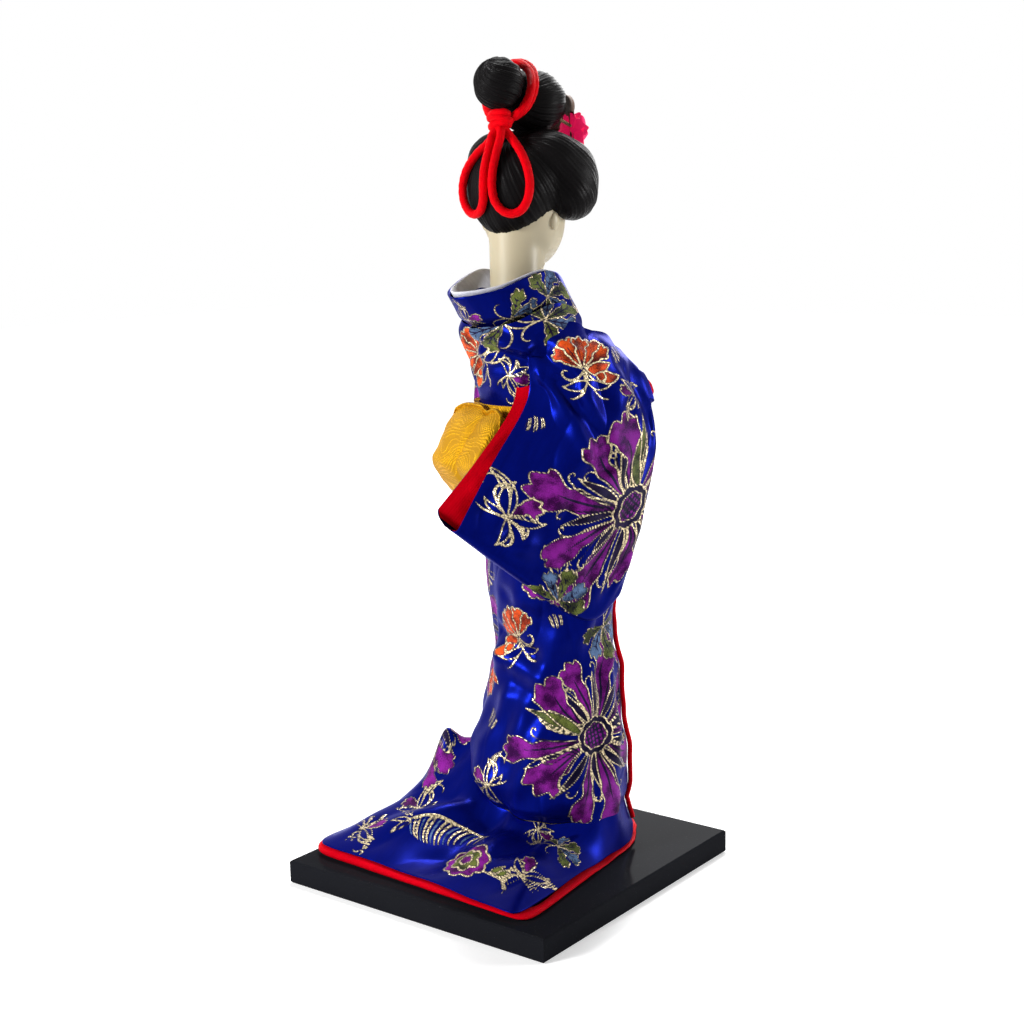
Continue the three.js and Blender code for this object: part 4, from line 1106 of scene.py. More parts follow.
def weave_blossom(cloth: WovenPattern) -> None:
    """A cup-shaped orange blossom on curling stems.

    Args:
        cloth: The cloth, at the spot where the motif goes.
    """
    petals = ((2.5, 11, 3.0), (0.65, 11, 3.0), (2.0, 11.5, 3.4), (1.15, 11.5, 3.4), (1.57, 12, 3.0))
    for k, (heading, length, wide) in enumerate(petals):
        bend = 0.3 * math.copysign(1, 1.57 - heading)
        cloth.fill(petal(length * 0.72, wide, bend, heading, 0.6, 1.3 * k), Thread.ORANGE, 0.24)
        for side in (-0.16, 0.16):
            vein = curl(length * 0.6, 0.0, 0.0, polar(0.8, heading), heading + side)
            cloth.line(vein, 0.15, 0.8, Thread.DARK)
    for start, heading, bend in (((-1, -0.5), 3.2, -0.6), ((-4, -2), 3.6, -0.9)):
        cloth.fill(leaf(9, 2.0, bend, start, heading), Thread.ORANGE, 0.22)
    for heading, bend, hook in ((-1.5, 0.5, 1.2), (-1.0, 1.2, 4.0), (-2.1, -1.0, -4.2), (-1.7, -0.6, -1.0)):
        cloth.line(curl(13, bend, hook, (0, -0.4), heading), 0.38, 0.4)
    for heading, bend in ((-0.7, 0.9), (-2.6, -0.8)):
        cloth.fill(leaf(9, 1.5, bend, (0, -4), heading), None, 0.22)


def weave_leaves(cloth: WovenPattern) -> None:
    """A spray of broad olive and silver leaves with gold edges and dark ribs.

    Args:
        cloth: The cloth, at the spot where the motif goes.
    """
    for k, heading in enumerate((0.1, 0.95, 1.75, 2.6, 3.4)):
        length, bend = 0.9 * (12 - 0.8 * abs(k - 2)), 0.5 * math.sin(1.3 * k)
        thread = (Thread.OLIVE, Thread.SILVER)[k % 2]
        cloth.fill(petal(length, 3.6, bend, heading, 0.5, k), thread, 0.16)
        rib = curl(length, bend, 0.0, (0, 0), heading - bend / 3)
        cloth.line(rib, 0.3, 0.4, Thread.DARK)
        for j in (6, 11, 16):
            for side in (-1, 1):
                cloth.line(curl(3.0, 0.4 * side, 0.0, rib[j], heading + 0.6 * side), 0.22, 0.4, Thread.DARK)
    for bend, hook in ((0.8, 2.6), (-0.7, -2.4)):
        cloth.line(curl(13, bend, hook, (0, 0), -1.7), 0.26)


def weave_scroll(cloth: WovenPattern) -> None:
    """A purple drop held by hollow gold fronds and lines that curl at their ends.

    Args:
        cloth: The cloth, at the spot where the motif goes.
    """
    fronds = (
        (17, 1.7, 1.9, -1.5), (12, 1.5, 1.1, 1.3), (11, 1.2, 3.4, -0.6), (10, 1.2, 4.5, 1.0), (8, 1.0, 0.2, 0.9),
    )
    lines = ((20, 1.7, -0.5, -3.6), (15, 0.8, 0.7, 3.6), (12, 4.2, 0.4, 3.0), (9, 0.0, 0.3, 0.5))
    cloth.fill(petal(7.5, 3.2, 0.8, 2.5, 1.0, 0.4), Thread.PURPLE, 0.24)
    for length, wide, heading, bend in fronds:
        cloth.fill(leaf(length, wide, bend, (0, 0), heading), None, 0.22)
    for length, heading, bend, hook in lines:
        cloth.line(curl(length, bend, hook, (0, 0), heading), 0.36, 0.3)
    for k in range(5):
        cloth.line(curl(7 - k, 0.5, 0.0, (-1.5 * k, -0.5 * k), 3.5 + 0.32 * k), 0.28)


def weave_feather(cloth: WovenPattern) -> None:
    """A long plume: a gold spine with a fan of silver and gold barbs on its hollow side.

    Args:
        cloth: The cloth, at the spot where the motif goes.
    """
    spine = even_curve(curl(32, -0.9, 0.0, (-15, -1), 0.55), 34)
    cloth.line(spine, 0.5)
    for j in range(3, 33, 2):
        barb = curl(12.5 * math.sin(math.pi * (j + 4) / 42), 1.3, 0.0, spine[j], -1.9 - 0.03 * j)
        cloth.line(barb, 0.34, 0.4, Thread.SILVER if j % 6 == 3 else Thread.GOLD)
    for heading in (2.9, 3.5):
        cloth.fill(leaf(9, 0.9, 0.5, (-13, -1), heading), None, 0.22)


def weave_rosette(cloth: WovenPattern) -> None:
    """A small round flower: scalloped purple over olive petals, with a leafy stem.

    Args:
        cloth: The cloth, at the spot where the motif goes.
    """
    angle = circle(80)
    rings = ((6.6, 9, 0.16, Thread.PURPLE), (4.2, 6, 0.3, Thread.OLIVE), (1.9, 5, 0.2, Thread.PURPLE))
    for radius, lobes, depth, thread in rings:
        r = radius * (1 - depth * (1 - np.abs(np.cos(lobes * angle / 2))))
        cloth.fill(polar(r, angle) * [1.25, 1], thread, 0.28)
    cloth.line(curl(14, -0.4, -1.6, (8, 0), 0.3), 0.4)
    for k in range(3):
        cloth.fill(leaf(4.5, 1.0, 0.2, (10 + 2.6 * k, 1.2), 0.9), Thread.OLIVE, 0.2)


def weave_hatch(cloth: WovenPattern) -> None:
    """A little bundle of short gold and dark lines.

    Args:
        cloth: The cloth, at the spot where the motif goes.
    """
    for k in range(-4, 5):
        reach = 4.2 - 0.4 * abs(k)
        thread = Thread.DARK if k % 3 == 1 else Thread.GOLD
        cloth.line(curl(2 * reach, 0.4, 0.0, (-reach, 0.9 * k), 0.04 * k), 0.25, 0.6, thread)


class Motif(Enum):
    """The motifs of the brocade, each with the function that weaves it at a cloth's spot."""

    PEONY = (weave_peony,)
    BLOSSOM = (weave_blossom,)
    LEAVES = (weave_leaves,)
    SCROLL = (weave_scroll,)
    FEATHER = (weave_feather,)
    ROSETTE = (weave_rosette,)
    HATCH = (weave_hatch,)


Layout = tuple[tuple[Motif, float, float, float, float], ...]
PEONY, BLOSSOM, LEAVES, SCROLL, FEATHER, ROSETTE, HATCH = Motif


def brocade_marks(s: Array, t: Array, layout: Layout, wrap: float = 0.0) -> Marks:
    """The marks of a brocade panel.

    Args:
        s: Each point's place along the cloth.
        t: Its place across.
        layout: Motifs, each with its spot's values, in the order of weaving.
        wrap: The length at which s starts again, or 0 for an open panel.

    Returns:
        The thread marks and the cloth coordinates.
    """
    pattern = WovenPattern(s, t)
    for motif, along, *values in layout:
        for shift in ((-wrap, 0.0, wrap) if wrap else (0.0,)):
            pattern.spot = Spot(along + shift, *values)
            motif.value[0](pattern)
    return {**pattern.marks(), **cloth_marks(s, t)}


# The robe's form
@dataclass(frozen=True)
class RobeForm:
    """The robe round the doll's body: an oval at each height, drawn in at the knees and the waist."""

    heights: tuple[float, ...] = (16, 38, 58, 81, 108, 143, 171, 187)
    widths: tuple[float, ...] = (30, 30, 28, 26, 27.5, 24, 21.5, 22.5)
    depths: tuple[float, ...] = (28.5, 28.3, 24.6, 21.6, 22.4, 19.3, 16.4, 17)
    middles: tuple[float, ...] = (3, 2.5, 0.8, 0, 0.7, 5, 9, 11.3)
    shoulder_turn: float = 12.0
    turn_from: float = 171.0
    turn_to: float = 212.0

    def point(self, angle: Array, h: Array, outside: Array = 0.0) -> Array:
        """Points of the oval at angle round it and height h, moved outwards by a distance.

        Args:
            angle: Angle round the doll in radians.
            h: Height above the board.
            outside: Distance outside the robe.

        Returns:
            The points.
        """
        angle, h, outside = np.broadcast_arrays(angle, h, outside)
        width, depth, middle = (through(self.heights, v, h) for v in (self.widths, self.depths, self.middles))
        x, y = (width + outside) * np.cos(angle), (depth + outside) * np.sin(angle) + middle
        return np.stack([x, y, h], axis=-1)

    def twisted(self, points: Array) -> Array:
        """Points turned about the neck's axis, as the shoulders are turned from the hips."""
        axis = np.array([0, NECK_Y, 0])
        angle = np.radians(self.shoulder_turn) * smoothstep(points[..., 2], self.turn_from, self.turn_to)
        return turned(points - axis, angle) + axis

    def front_y(self, h: float, outside: float = 0.0) -> float:
        """The robe's front at a height."""
        return float(self.point(-math.pi / 2, h, outside)[..., 1])


ROBE = RobeForm()


@dataclass(frozen=True)
class Skirt:
    """The robe below the sash: a column with soft folds, and a train that spreads over the board."""

    columns: int = 460
    column_rows: int = 190
    train_rows: int = 118
    top: float = 142.65
    hem_thick: float = 3.0
    corner_lift: float = 2.2
    corner_bearing: float = 50.0
    slope: float = 13.0
    mound: float = 20.0
    mound_bearing: float = 12.0
    mound_spread: float = 40.0
    sharpness: float = 18.0
    lip: float = 1.7
    girth: float = 27.0
    sides: tuple[tuple[float, float], ...] = (
        (88, 71.5), (187, 32.2), (218, 30), (258, 31), (310, 41), (356, 60),
    )
    lifted: tuple[float, float, float] = (17.0, 12.0, 7.5)
    folds: tuple[tuple[float, float, float], ...] = (
        (1.6, 100, 9), (-1.9, 82, 7), (1.5, 61, 8), (-1.2, 43, 7), (1.0, 125, 8), (1.2, -18, 9),
    )
    layout: Layout = (
        (PEONY, 86, 47.5, 75, 1.2), (BLOSSOM, 49.5, 84, 20, 1.05), (LEAVES, 92, 88, 190, 1),
        (SCROLL, 46, 28, 10, 0.85), (HATCH, 40.5, 51, 60, 0.8), (ROSETTE, 62, 106, 0, 0.9),
        (SCROLL, 30, 106, 80, 0.8), (HATCH, 68, 92, 100, 0.7), (PEONY, 6, 82, 200, 1.1),
        (SCROLL, 18, 38, 80, 0.9), (BLOSSOM, 30, 66, 160, 0.8), (SCROLL, 118, 72, 30, 0.95),
        (PEONY, 141, 96, 20, 1.1), (ROSETTE, 150, 46, 80, 0.95), (LEAVES, 164, 22, 160, 0.9),
        (BLOSSOM, 122, 34, 10, 1), (LEAVES, 112, 112, 60, 0.9), (HATCH, 136, 20, 0, 0.9),
    )
    train_layout: Layout = (
        (FEATHER, 10, 29, 195, 1.05), (SCROLL, 29, 24, 200, 0.95), (ROSETTE, -9, 40, 165, 1.3),
        (SCROLL, 44, 41, 60, 1), (SCROLL, -35, 39, 140, 0.95), (LEAVES, -33, 14, 140, 0.7),
        (SCROLL, -20, 10, 40, 0.6), (PEONY, 44, -4, 10, 0.7), (ROSETTE, 38, -28, 300, 0.8),
        (SCROLL, 16, -40, 280, 0.7), (SCROLL, -22, -44, 240, 0.6),
    )
    creases: tuple[tuple[float, ...], ...] = (
        (36, 84, 58, 78, -1.8, 3.2), (38, 76, 62, 70, 1.7, 3.6), (50, 66, 72, 62, -1.0, 3.2),
        (52, 98, 80, 108, 1.2, 4.2), (44, 100, 60, 92, -1.0, 3.4), (36, 24, 46, 60, 1.0, 4.2),
        (50, 18, 60, 54, -1.3, 4.0), (66, 18, 70, 50, 0.9, 4.0), (84, 20, 90, 70, -1.6, 3.6),
        (95, 14, 98, 74, 1.5, 4.4), (72, 84, 96, 100, 1.0, 5.0), (6, 20, 18, 104, 1.2, 5.0),
        (20, 24, 28, 90, -1.2, 4.0), (150, 20, 138, 110, 1.2, 5.0), (128, 16, 124, 96, -1.1, 4.4),
        (112, 20, 116, 70, 1.0, 5.0),
    )

    def hem_reach(self, bearing: Array) -> Array:
        """How far the hem lies from the doll's axis: the corner-rounded least of its straight sides."""
        sides = (np.maximum(np.cos(np.radians(bearing - side)) / reach, 0) for side, reach in self.sides)
        return sum(side ** self.sharpness for side in sides) ** (-1 / self.sharpness)

    def hem_height(self, bearing: Array) -> Array:
        """The silk's height at the hem, a little more at its rear left corner."""
        lift = self.corner_lift * toward(bearing, self.corner_bearing, 38)
        uneven = 0.35 * np.sin(np.radians(bearing * 11)) * np.sin(np.radians(bearing * 3))
        return self.hem_thick + lift - 0.9 * self.tucked(bearing) + uneven

    def tucked(self, bearing: Array) -> Array:
        """How far the silk covers the hem roll along the doll's right side: 0 to 1."""
        return window(bearing, 112, 128, 200, 225)

    def rise(self, bearing: Array) -> tuple[Array, Array]:
        """How much of the heaped mound there is at a bearing, and the height where the column ends."""
        mound = toward(bearing, self.mound_bearing, self.mound_spread)
        return mound, self.slope + self.mound * mound

    def column(self) -> tuple[Array, Array, Array]:
        """The column's points and its cloth coordinates.

        Its foot swells at the back and is tucked in above the train, so that a deep crease parts them.

        Returns:
            The grid of points, and the places along and across the cloth.
        """
        angle, down = circle(self.columns)[None], np.linspace(0, 1, self.column_rows)[:, None]
        bearing = np.degrees(angle) + FIGURE.turn
        foot = self.hem_height(bearing) + self.rise(bearing)[1]
        h = self.top + (foot - self.top) * down
        s, t = np.broadcast_arrays(angle * self.girth, h)
        ripple = 0.7 * smoothstep(down, 0.25, 0.8) * np.cos(5 * (angle + 0.03 * (h - 81)))
        folds = creased(s, t, self.creases) * smoothstep(down, 0.0, 0.12)
        fine = rumples(s, t, 5) * smoothstep(down, 0.05, 0.2)
        wander = 0.02 * np.sin(5 * angle + 1) + 0.012 * np.sin(11 * angle)
        swell = 1.5 * bell((down - 0.93 - wander) / 0.05) - 2.6 * smoothstep(down, 0.965, 1.0)
        return ROBE.point(angle, h, ripple + folds + fine + swell * toward(bearing, 88, 72)), s, t

    def train(self) -> Array:
        """The train's points, from the column's foot out to the hem.

        The radius grows from the column's to the hem's reach, and the height falls evenly, so that
        the mound is steep at the hem and flat above. Radial folds and one lifted fold are added.

        Returns:
            The grid of points.
        """
        top = self.column()[0][-1]
        bearing = np.degrees(circle(self.columns)) + FIGURE.turn
        mound, rise = self.rise(bearing)
        start, heading = np.hypot(top[:, 0], top[:, 1]), np.arctan2(top[:, 1], top[:, 0])
        reach = np.maximum(self.hem_reach(bearing), start + 0.4)
        w = np.linspace(0, 1, self.train_rows)[:, None]
        r = start + (reach - start) * w ** (1.2 - 0.62 * mound)
        wide = smoothstep(reach - start, 4, 24)
        radial = sum(height * toward(bearing, middle, spread) for height, middle, spread in self.folds)
        folds = 1.8 * wide * 4 * w * (1 - w) * radial
        bearing_at, tall, spread_at = self.lifted
        lifted = tall * toward(bearing, bearing_at, spread_at) * bell((w - 0.27) / 0.16)
        gully = -2.2 * wide * bell((w - 0.16) / 0.12)
        outward = flat_way(heading)
        body = outward * r[..., None]
        fine = 1.7 * rumples(body[..., 0], body[..., 1], 9) * wide * smoothstep(w, 0, 0.2) * (1 - w**3)
        body[..., 2] = self.hem_height(bearing) + rise * (1 - w) + folds + lifted + gully + fine
        turned_in = ((0.1, -0.35), (-0.5, -0.7), (-2.0, -0.8))
        return np.concatenate([body, [body[-1] + outward * x + [0, 0, z] for x, z in turned_in]])

    def lining(self) -> list[Patch]:
        """The lining: its face under the silk, and the padded roll that shows below the hem."""
        angle = circle(360)
        bearing, outward = np.degrees(angle) + FIGURE.turn, flat_way(angle)
        reach, high = self.hem_reach(bearing)[:, None], self.hem_height(bearing) - 1.1
        turn = np.linspace(-0.15, math.pi + 0.3, 15)[:, None]
        puff = 1 + 0.1 * np.sin(np.radians(bearing) * 23) * np.sin(np.radians(bearing) * 7)
        r = reach[:, 0] - 0.4 + (self.lip + 0.35 - self.tucked(bearing)) * np.sin(turn) * puff
        roll = outward * r[..., None]
        roll[..., 2] = np.maximum(0.35 + (high - 0.35) * (0.5 + 0.5 * np.cos(turn)), 0.3)
        inner = outward * (reach - 8) + np.maximum(high - 0.5, 0.8)[:, None] * [0, 0, 1]
        points = np.concatenate([inner[None], roll, [outward * (reach - 9) + [0, 0, 0.4]]])
        face = ROBE.point(circle(120)[None], np.linspace(141, 20, 40)[:, None], -4.2)
        return [Patch(points, closed=True, marks=plain_marks(points)),
                Patch(face, closed=True, inward=True, marks=plain_marks(face))]

    def build(self) -> None:
        """Makes the skirt's column, train, lining and front edge."""
        points, s, t = self.column()
        marks = brocade_marks(s, t, self.layout, math.tau * self.girth)
        patches = [Patch(points, closed=True, marks=marks)]
        column = add_piece("robe_skirt_column", patches, Body.DOLL, SILK_BLUE, "kimono_skirt")
        spread = self.train()
        heading = np.arctan2(spread[-1, :, 1], spread[-1, :, 0]) + math.radians(FIGURE.turn)
        laid = np.hypot(spread[0, :, 0], spread[0, :, 1]) + run_lengths(spread, 0)
        s, t = np.moveaxis(polar(laid, heading) + FIGURE.origin[:2], -1, 0)
        patches = [Patch(spread, closed=True, marks=brocade_marks(s, t, self.train_layout))]
        train = add_piece("robe_train", patches, Body.DOLL, SILK_BLUE, "kimono_skirt")
        lining = add_piece("robe_lining_and_hem_roll", self.lining(), Body.DOLL, LINING_RED, "kimono_lining")
        self.front_edge(points, spread)

    def front_edge(self, column: Array, train: Array) -> None:
        """The red folded edge that runs down the robe's overlap.

        Args:
            column: The column's points.
            train: The train's points.
        """
        angle = math.radians(238)
        at = int(round(angle / math.tau * self.columns))
        path = np.concatenate([column[6:, at], train[4:int(0.78 * self.train_rows), at]])
        path = even_curve((path + 1.15 * flat_way(angle))[::8], 170)
        tube = tube_patch(path, np.full(len(path), 0.95), 14)
        add_piece("robe_front_edge", [tube], Body.DOLL, LINING_RED, "front_edge_trim")


@dataclass(frozen=True)
class Collar:
    """The robe's collar band, set back from the nape, and the white band inside it."""

    back: float = 30.0
    side: float = 17.2
    back_height: float = 210.5
    side_height: float = 219.0
    width: float = 11.0
    thick: float = 1.1
    flare: float = 10.0
    columns: int = 420
    layout: Layout = (
        (LEAVES, 68, 3, 120, 0.85), (LEAVES, 52, 4, 60, 0.85), (SCROLL, 86, 6, 20, 0.7),
        (BLOSSOM, 104, 3, 150, 0.7), (BLOSSOM, 34, 4.5, 80, 0.7), (LEAVES, 124, 5, 30, 0.7),
        (SCROLL, 18, 5, 20, 0.6), (SCROLL, 150, 5, 100, 0.6),
    )

    def runs(self) -> tuple[Array, Array]:
        """The points that the band's rim and lower edge run through, from its hidden end at the right.

        Returns:
            The rim's points and the lower edge's.
        """
        front, back = ROBE.front_y, NECK_Y + self.back
        nape, top, deep = self.back_height, self.side_height, self.width
        half = np.array([
            ((0, back, nape), (0, back - self.flare, nape - deep)),
            ((12.5, back - 9, nape + 2.5), (13.5, back - 15, nape - deep + 2)),
            ((self.side, NECK_Y + 2, top), (self.side + 3.5, NECK_Y + 1, top - deep)),
            ((self.side - 4, 1.5, top - 6), (self.side + 2, -1, top - deep - 6)),
            ((6.5, front(199) - 0.4, 199), (14, front(187) + 0.4, 187)),
        ])
        under = np.array([((-2.5, front(184, 0.2), 184), (4, front(172.85, 0.5), 172.85))])
        over = np.array([((-0.5, front(186, 2.2), 186), (8, front(177, 1.8), 177)),
                         ((-5.6, front(174.85, 2.6), 174.85), (2, front(172.35, 2.6), 172.35))])
        pairs = np.concatenate([under * [-1, 1, 1], half[:0:-1] * [-1, 1, 1], half, over])
        return pairs[:, 0], pairs[:, 1]

    def band(self, s: Array, w: Array, inward: Array) -> Array:
        """Points of the band.

        Args:
            s: Shares of its run, as a list of columns.
            w: Shares of its width, from the lower edge to the rim, as a list of rows.
            inward: Distance towards the neck for each row.

        Returns:
            Rows by columns of points.
        """
        rim, low = self.runs()
        high, foot = curve_points(rim, s), curve_points(low, s)
        grid = ROBE.twisted(foot[None] + (high - foot)[None] * w[:, None, None])
        step = 0.004
        before, after = (ROBE.twisted(curve_points(rim, np.clip(s + d, 0, 1))) for d in (-step, step))
        normal = unit(np.cross(after - before, ROBE.twisted(high) - ROBE.twisted(foot)))
        return grid + normal[None] * inward[:, None, None]

    def rolled(self, low: float, high: float, inward: float, thick: float, s: Array, rows: int) -> Array:
        """The band's skin: up its outer face, over the rim, and down its inner face.

        Args:
            low: Where it starts, as a share of the band's width.
            high: Where it is rolled over.
            inward: Distance of its middle towards the neck.
            thick: Its thickness.
            s: Shares of the band's run.
            rows: Rows of its outer face.

        Returns:
            Rows by columns of points.
        """
        turn, half = np.linspace(0, math.pi, 9)[1:-1], thick / 2
        crown = high + half / self.width * np.sin(turn)
        w = np.concatenate([np.linspace(low, high, rows), crown, np.linspace(high, low, rows // 2)])
        side = np.concatenate([np.full(rows, -1.0), -np.cos(turn), np.ones(rows // 2)])
        return self.band(s, w, inward + half * side + 2.2 * (1 - smoothstep(w, -0.08, 0.34)))

    def build(self) -> None:
        """Makes the collar band and the white under-collar."""
        points = self.rolled(-0.08, 1.0, 0.0, self.thick, np.linspace(0, 1, self.columns), 34)
        run, rise = np.broadcast_arrays(run_lengths(points, 1)[15:16], run_lengths(points, 0))
        puffed = points + surface_normals(points, False) * (0.3 * rumples(run, rise, 3))[..., None]
        patches = [Patch(puffed, marks=brocade_marks(run, rise, self.layout))]
        collar = add_piece("robe_collar", patches, Body.DOLL, SILK_BLUE, "collar")
        top = 1 + 1.0 / self.width
        white = self.rolled(top - 6.5 / self.width, top, 1.58, 0.8, np.linspace(0.1, 0.82, 300), 14)
        patches = [Patch(white, marks=plain_marks(white))]
        under = add_piece("white_under_collar", patches, Body.DOLL, COLLAR_WHITE, "under_collar")


@dataclass(frozen=True)
class Bodice:
    """The robe above the sash, closed left over right."""

    columns: int = 300
    rows: int = 150
    girth: float = 21.5
    foot: float = 143.0
    join: float = 0.6
    layout: Layout = (
        (BLOSSOM, 31, 47, 60, 1.05), (LEAVES, 42, 60, 60, 0.95), (LEAVES, 54, 61, 300, 0.95),
        (SCROLL, 46, 40, 200, 0.8), (SCROLL, 14, 44, 60, 0.9), (LEAVES, 74, 44, 60, 0.9),
        (BLOSSOM, 92, 46, 40, 0.9), (SCROLL, 112, 42, 200, 0.8), (PEONY, 128, 50, 0, 0.6),
    )
    creases: tuple[tuple[float, ...], ...] = (
        (33, 57, 50, 50, -2.3, 2.6), (32, 52.5, 52, 45.5, 2.0, 2.8), (34, 41, 50, 38, -0.9, 2.6),
        (42, 64, 53, 47, -1.1, 2.4), (28, 60, 30, 44, 0.9, 3.2), (20, 56, 10, 42, -1.0, 3.2),
        (90, 60, 78, 42, -1.0, 2.8), (98, 56, 84, 40, 0.9, 3.0), (112, 58, 104, 42, -0.9, 3.0),
    )

    def surface(self) -> Array:
        """The bodice from the waist to its neckline, blending from the robe's oval into the neckline.

        Returns:
            Rows by columns of points, starting at the back.
        """
        front = [[8, ROBE.front_y(177), 177], [0, ROBE.front_y(171.5), 173.1]]
        angle = circle(self.columns) + math.pi / 2
        share = np.abs(bearing_gap(np.degrees(angle), 90)) / 180
        edge = curve_points(np.concatenate([Collar().runs()[1][5:10], front]), share)
        edge[:, 0] *= np.where(np.cos(angle) < 0, -1, 1)
        level = np.linspace(0, 1, self.rows)[:, None]
        join_height = np.minimum(187, (edge[:, 2] + 171.5) / 2)
        h = self.foot + (join_height - self.foot) * np.minimum(level / self.join, 1)
        low = ROBE.point(angle[None], h)
        rise = np.clip((level - self.join) / (1 - self.join), 0, 1)
        bulge = 1.7 * np.sin(math.pi * rise) * smoothstep(edge[:, 2], 171.5, 187)
        raised = low + (edge - low) * rise[..., None] + flat_way(angle) * bulge[..., None]
        return ROBE.twisted(np.where((level <= self.join)[..., None], low, raised))

    def build(self) -> None:
        """Makes the bodice."""
        points = self.surface()
        along = ((circle(self.columns) + math.pi / 2) % math.tau) * self.girth
        s, t = np.broadcast_arrays(along, run_lengths(points, 0))
        lift = (creased(s, t, self.creases) + 0.7 * rumples(s, t, 21)) * window(t, 30, 36, 62, 68)
        shaped = points - surface_normals(points, True) * lift[..., None]
        patches = [Patch(shaped, closed=True, marks=brocade_marks(s, t, self.layout))]
        bodice = add_piece("robe_bodice", patches, Body.DOLL, SILK_BLUE, "kimono_bodice")


Net = tuple[tuple[Point, ...], ...]


@dataclass(frozen=True)
class Sleeve:
    """A hanging sleeve: a flat bag of silk with a red lining, open at the cuff and along its rear edge."""

    side: str
    flat: tuple[float, float]
    nets: tuple[Net, Net]
    layouts: tuple[Layout, Layout]
    creases: tuple[tuple[float, ...], ...]
    columns: int = 130
    rows: int = 210
    cuff: tuple[float, float] = (0.19, 0.34)
    seam: float = 3.0

    def rounded(self, distance: Array) -> Array:
        """The share of the bag's depth at distances from a closed edge, along a quarter circle."""
        return np.sqrt(np.clip(1 - (1 - np.clip(distance / self.seam, 0, 1))**2, 0, 1))

    def layer(self, face: int) -> Array:
        """One layer of the bag, which meets the other at the closed edges.

        Near the front and bottom edges both layers run to the sheet halfway between them, along a
        quarter circle, apart from the cuff's opening.

        Args:
            face: 0 for the outer layer, 1 for the layer next to the body.

        Returns:
            Rows by columns of points.
        """
        u, v = np.linspace(0, 1, self.columns), np.linspace(0, 1, self.rows)
        across, down = spline_weights(4, u), spline_weights(5, v)
        sheets = [np.einsum("vr,uc,rck->vuk", down, across, np.array(net, float)) for net in self.nets]
        middle = (sheets[0] + sheets[1]) / 2
        away = unit(sheets[1 - face] - sheets[face])
        half = np.linalg.norm(sheets[0] - sheets[1], axis=-1) / 2
        length, fall = run_lengths(middle, 1), run_lengths(middle, 0)
        low, high = self.cuff
        open_cuff = window(v, low - 0.03, low, high, high + 0.03)[:, None]
        round_front = np.maximum(self.rounded(length[:, -1:] - length), open_cuff)
        depth = np.maximum(half, 0.15) * round_front * self.rounded(fall[-1:] - fall)
        return middle - away * depth[..., None]

    def sides(self, face: int) -> tuple[Patch, Patch]:
        """One layer's silk and its lining, which follows the silk's folds inside it.

        Args:
            face: 0 for the outer layer, 1 for the layer next to the body.

        Returns:
            The silk and the lining.
        """
        outer, level = face == 0, np.linspace(0, 1, self.rows)
        hanging = 1 - smoothstep(level, 0.22, 0.27)[:, None]
        sheet = self.layer(face)
        fall = run_lengths(sheet, 0)[:, self.columns // 2][:, None]
        s, t = np.broadcast_arrays(run_lengths(sheet, 1), fall)
        inward = self.layer(1 - face) - sheet
        normal = surface_normals(sheet, False)
        across = np.einsum("vuk,vuk->vu", normal, inward)
        normal *= np.sign(across.mean())
        space = np.abs(across) / 2
        fade = window(s, 0, 5, s[:, -1:] - 6, s[:, -1:]) * (1 - smoothstep(level, 0.92, 0.99))[:, None]
        lift = (creased(s, t, self.creases) * outer + rumples(s, t, 31 + face)) * fade
        room = np.maximum(space - 1.2, 0)
        press = np.minimum(2.6 * (1 - smoothstep(s, 0, 10)) * hanging * outer, room)
        sheet = sheet - normal * np.maximum(lift, press - room)[..., None] + unit(inward) * press[..., None]
        lined = (sheet + normal * np.minimum(0.75, 0.8 * space)[..., None])[::2, ::2]
        ahead = unit(lined[:, -1:] - lined[:, -5:-4])
        ahead = ahead * smoothstep(np.linspace(0, 1, lined.shape[1]), 0.88, 1.0)[:, None]
        low, high = self.cuff
        at_cuff = window(np.linspace(0, 1, len(lined)), low, low + 0.06, high - 0.06, high)
        lined = lined + 3.2 * ahead * at_cuff[:, None, None]
        closing, gap = hanging[..., None] * outer, inward[:, :1]
        tuck = closing * (gap - unit(gap) * press[:, :1, None]) + (1 - closing) * 0.45 * unit(gap)
        sheet = np.concatenate([sheet[:, :1] + tuck, sheet[:, :1] + tuck * 0.4, sheet], axis=1)
        s = np.concatenate([s[:, :1] - 0.8, s[:, :1] - 0.4, s], axis=1)
        t = np.concatenate([t[:, :2], t], axis=1)
        return (Patch(sheet, inward=not outer, marks=brocade_marks(s, t, self.layouts[face])),
                Patch(lined, inward=outer, marks=plain_marks(lined)))

    def build(self) -> None:
        """Makes the sleeve's silk and its lining."""
        silks, linings = zip(self.sides(0), self.sides(1))
        name, inside = f"sleeve_{self.side}", f"sleeve_lining_{self.side}"
        silk = add_piece(f"{name}_silk", silks, Body.DOLL, SILK_BLUE, name)
        lining = add_piece(f"{name}_lining", linings, Body.DOLL, LINING_RED, inside)


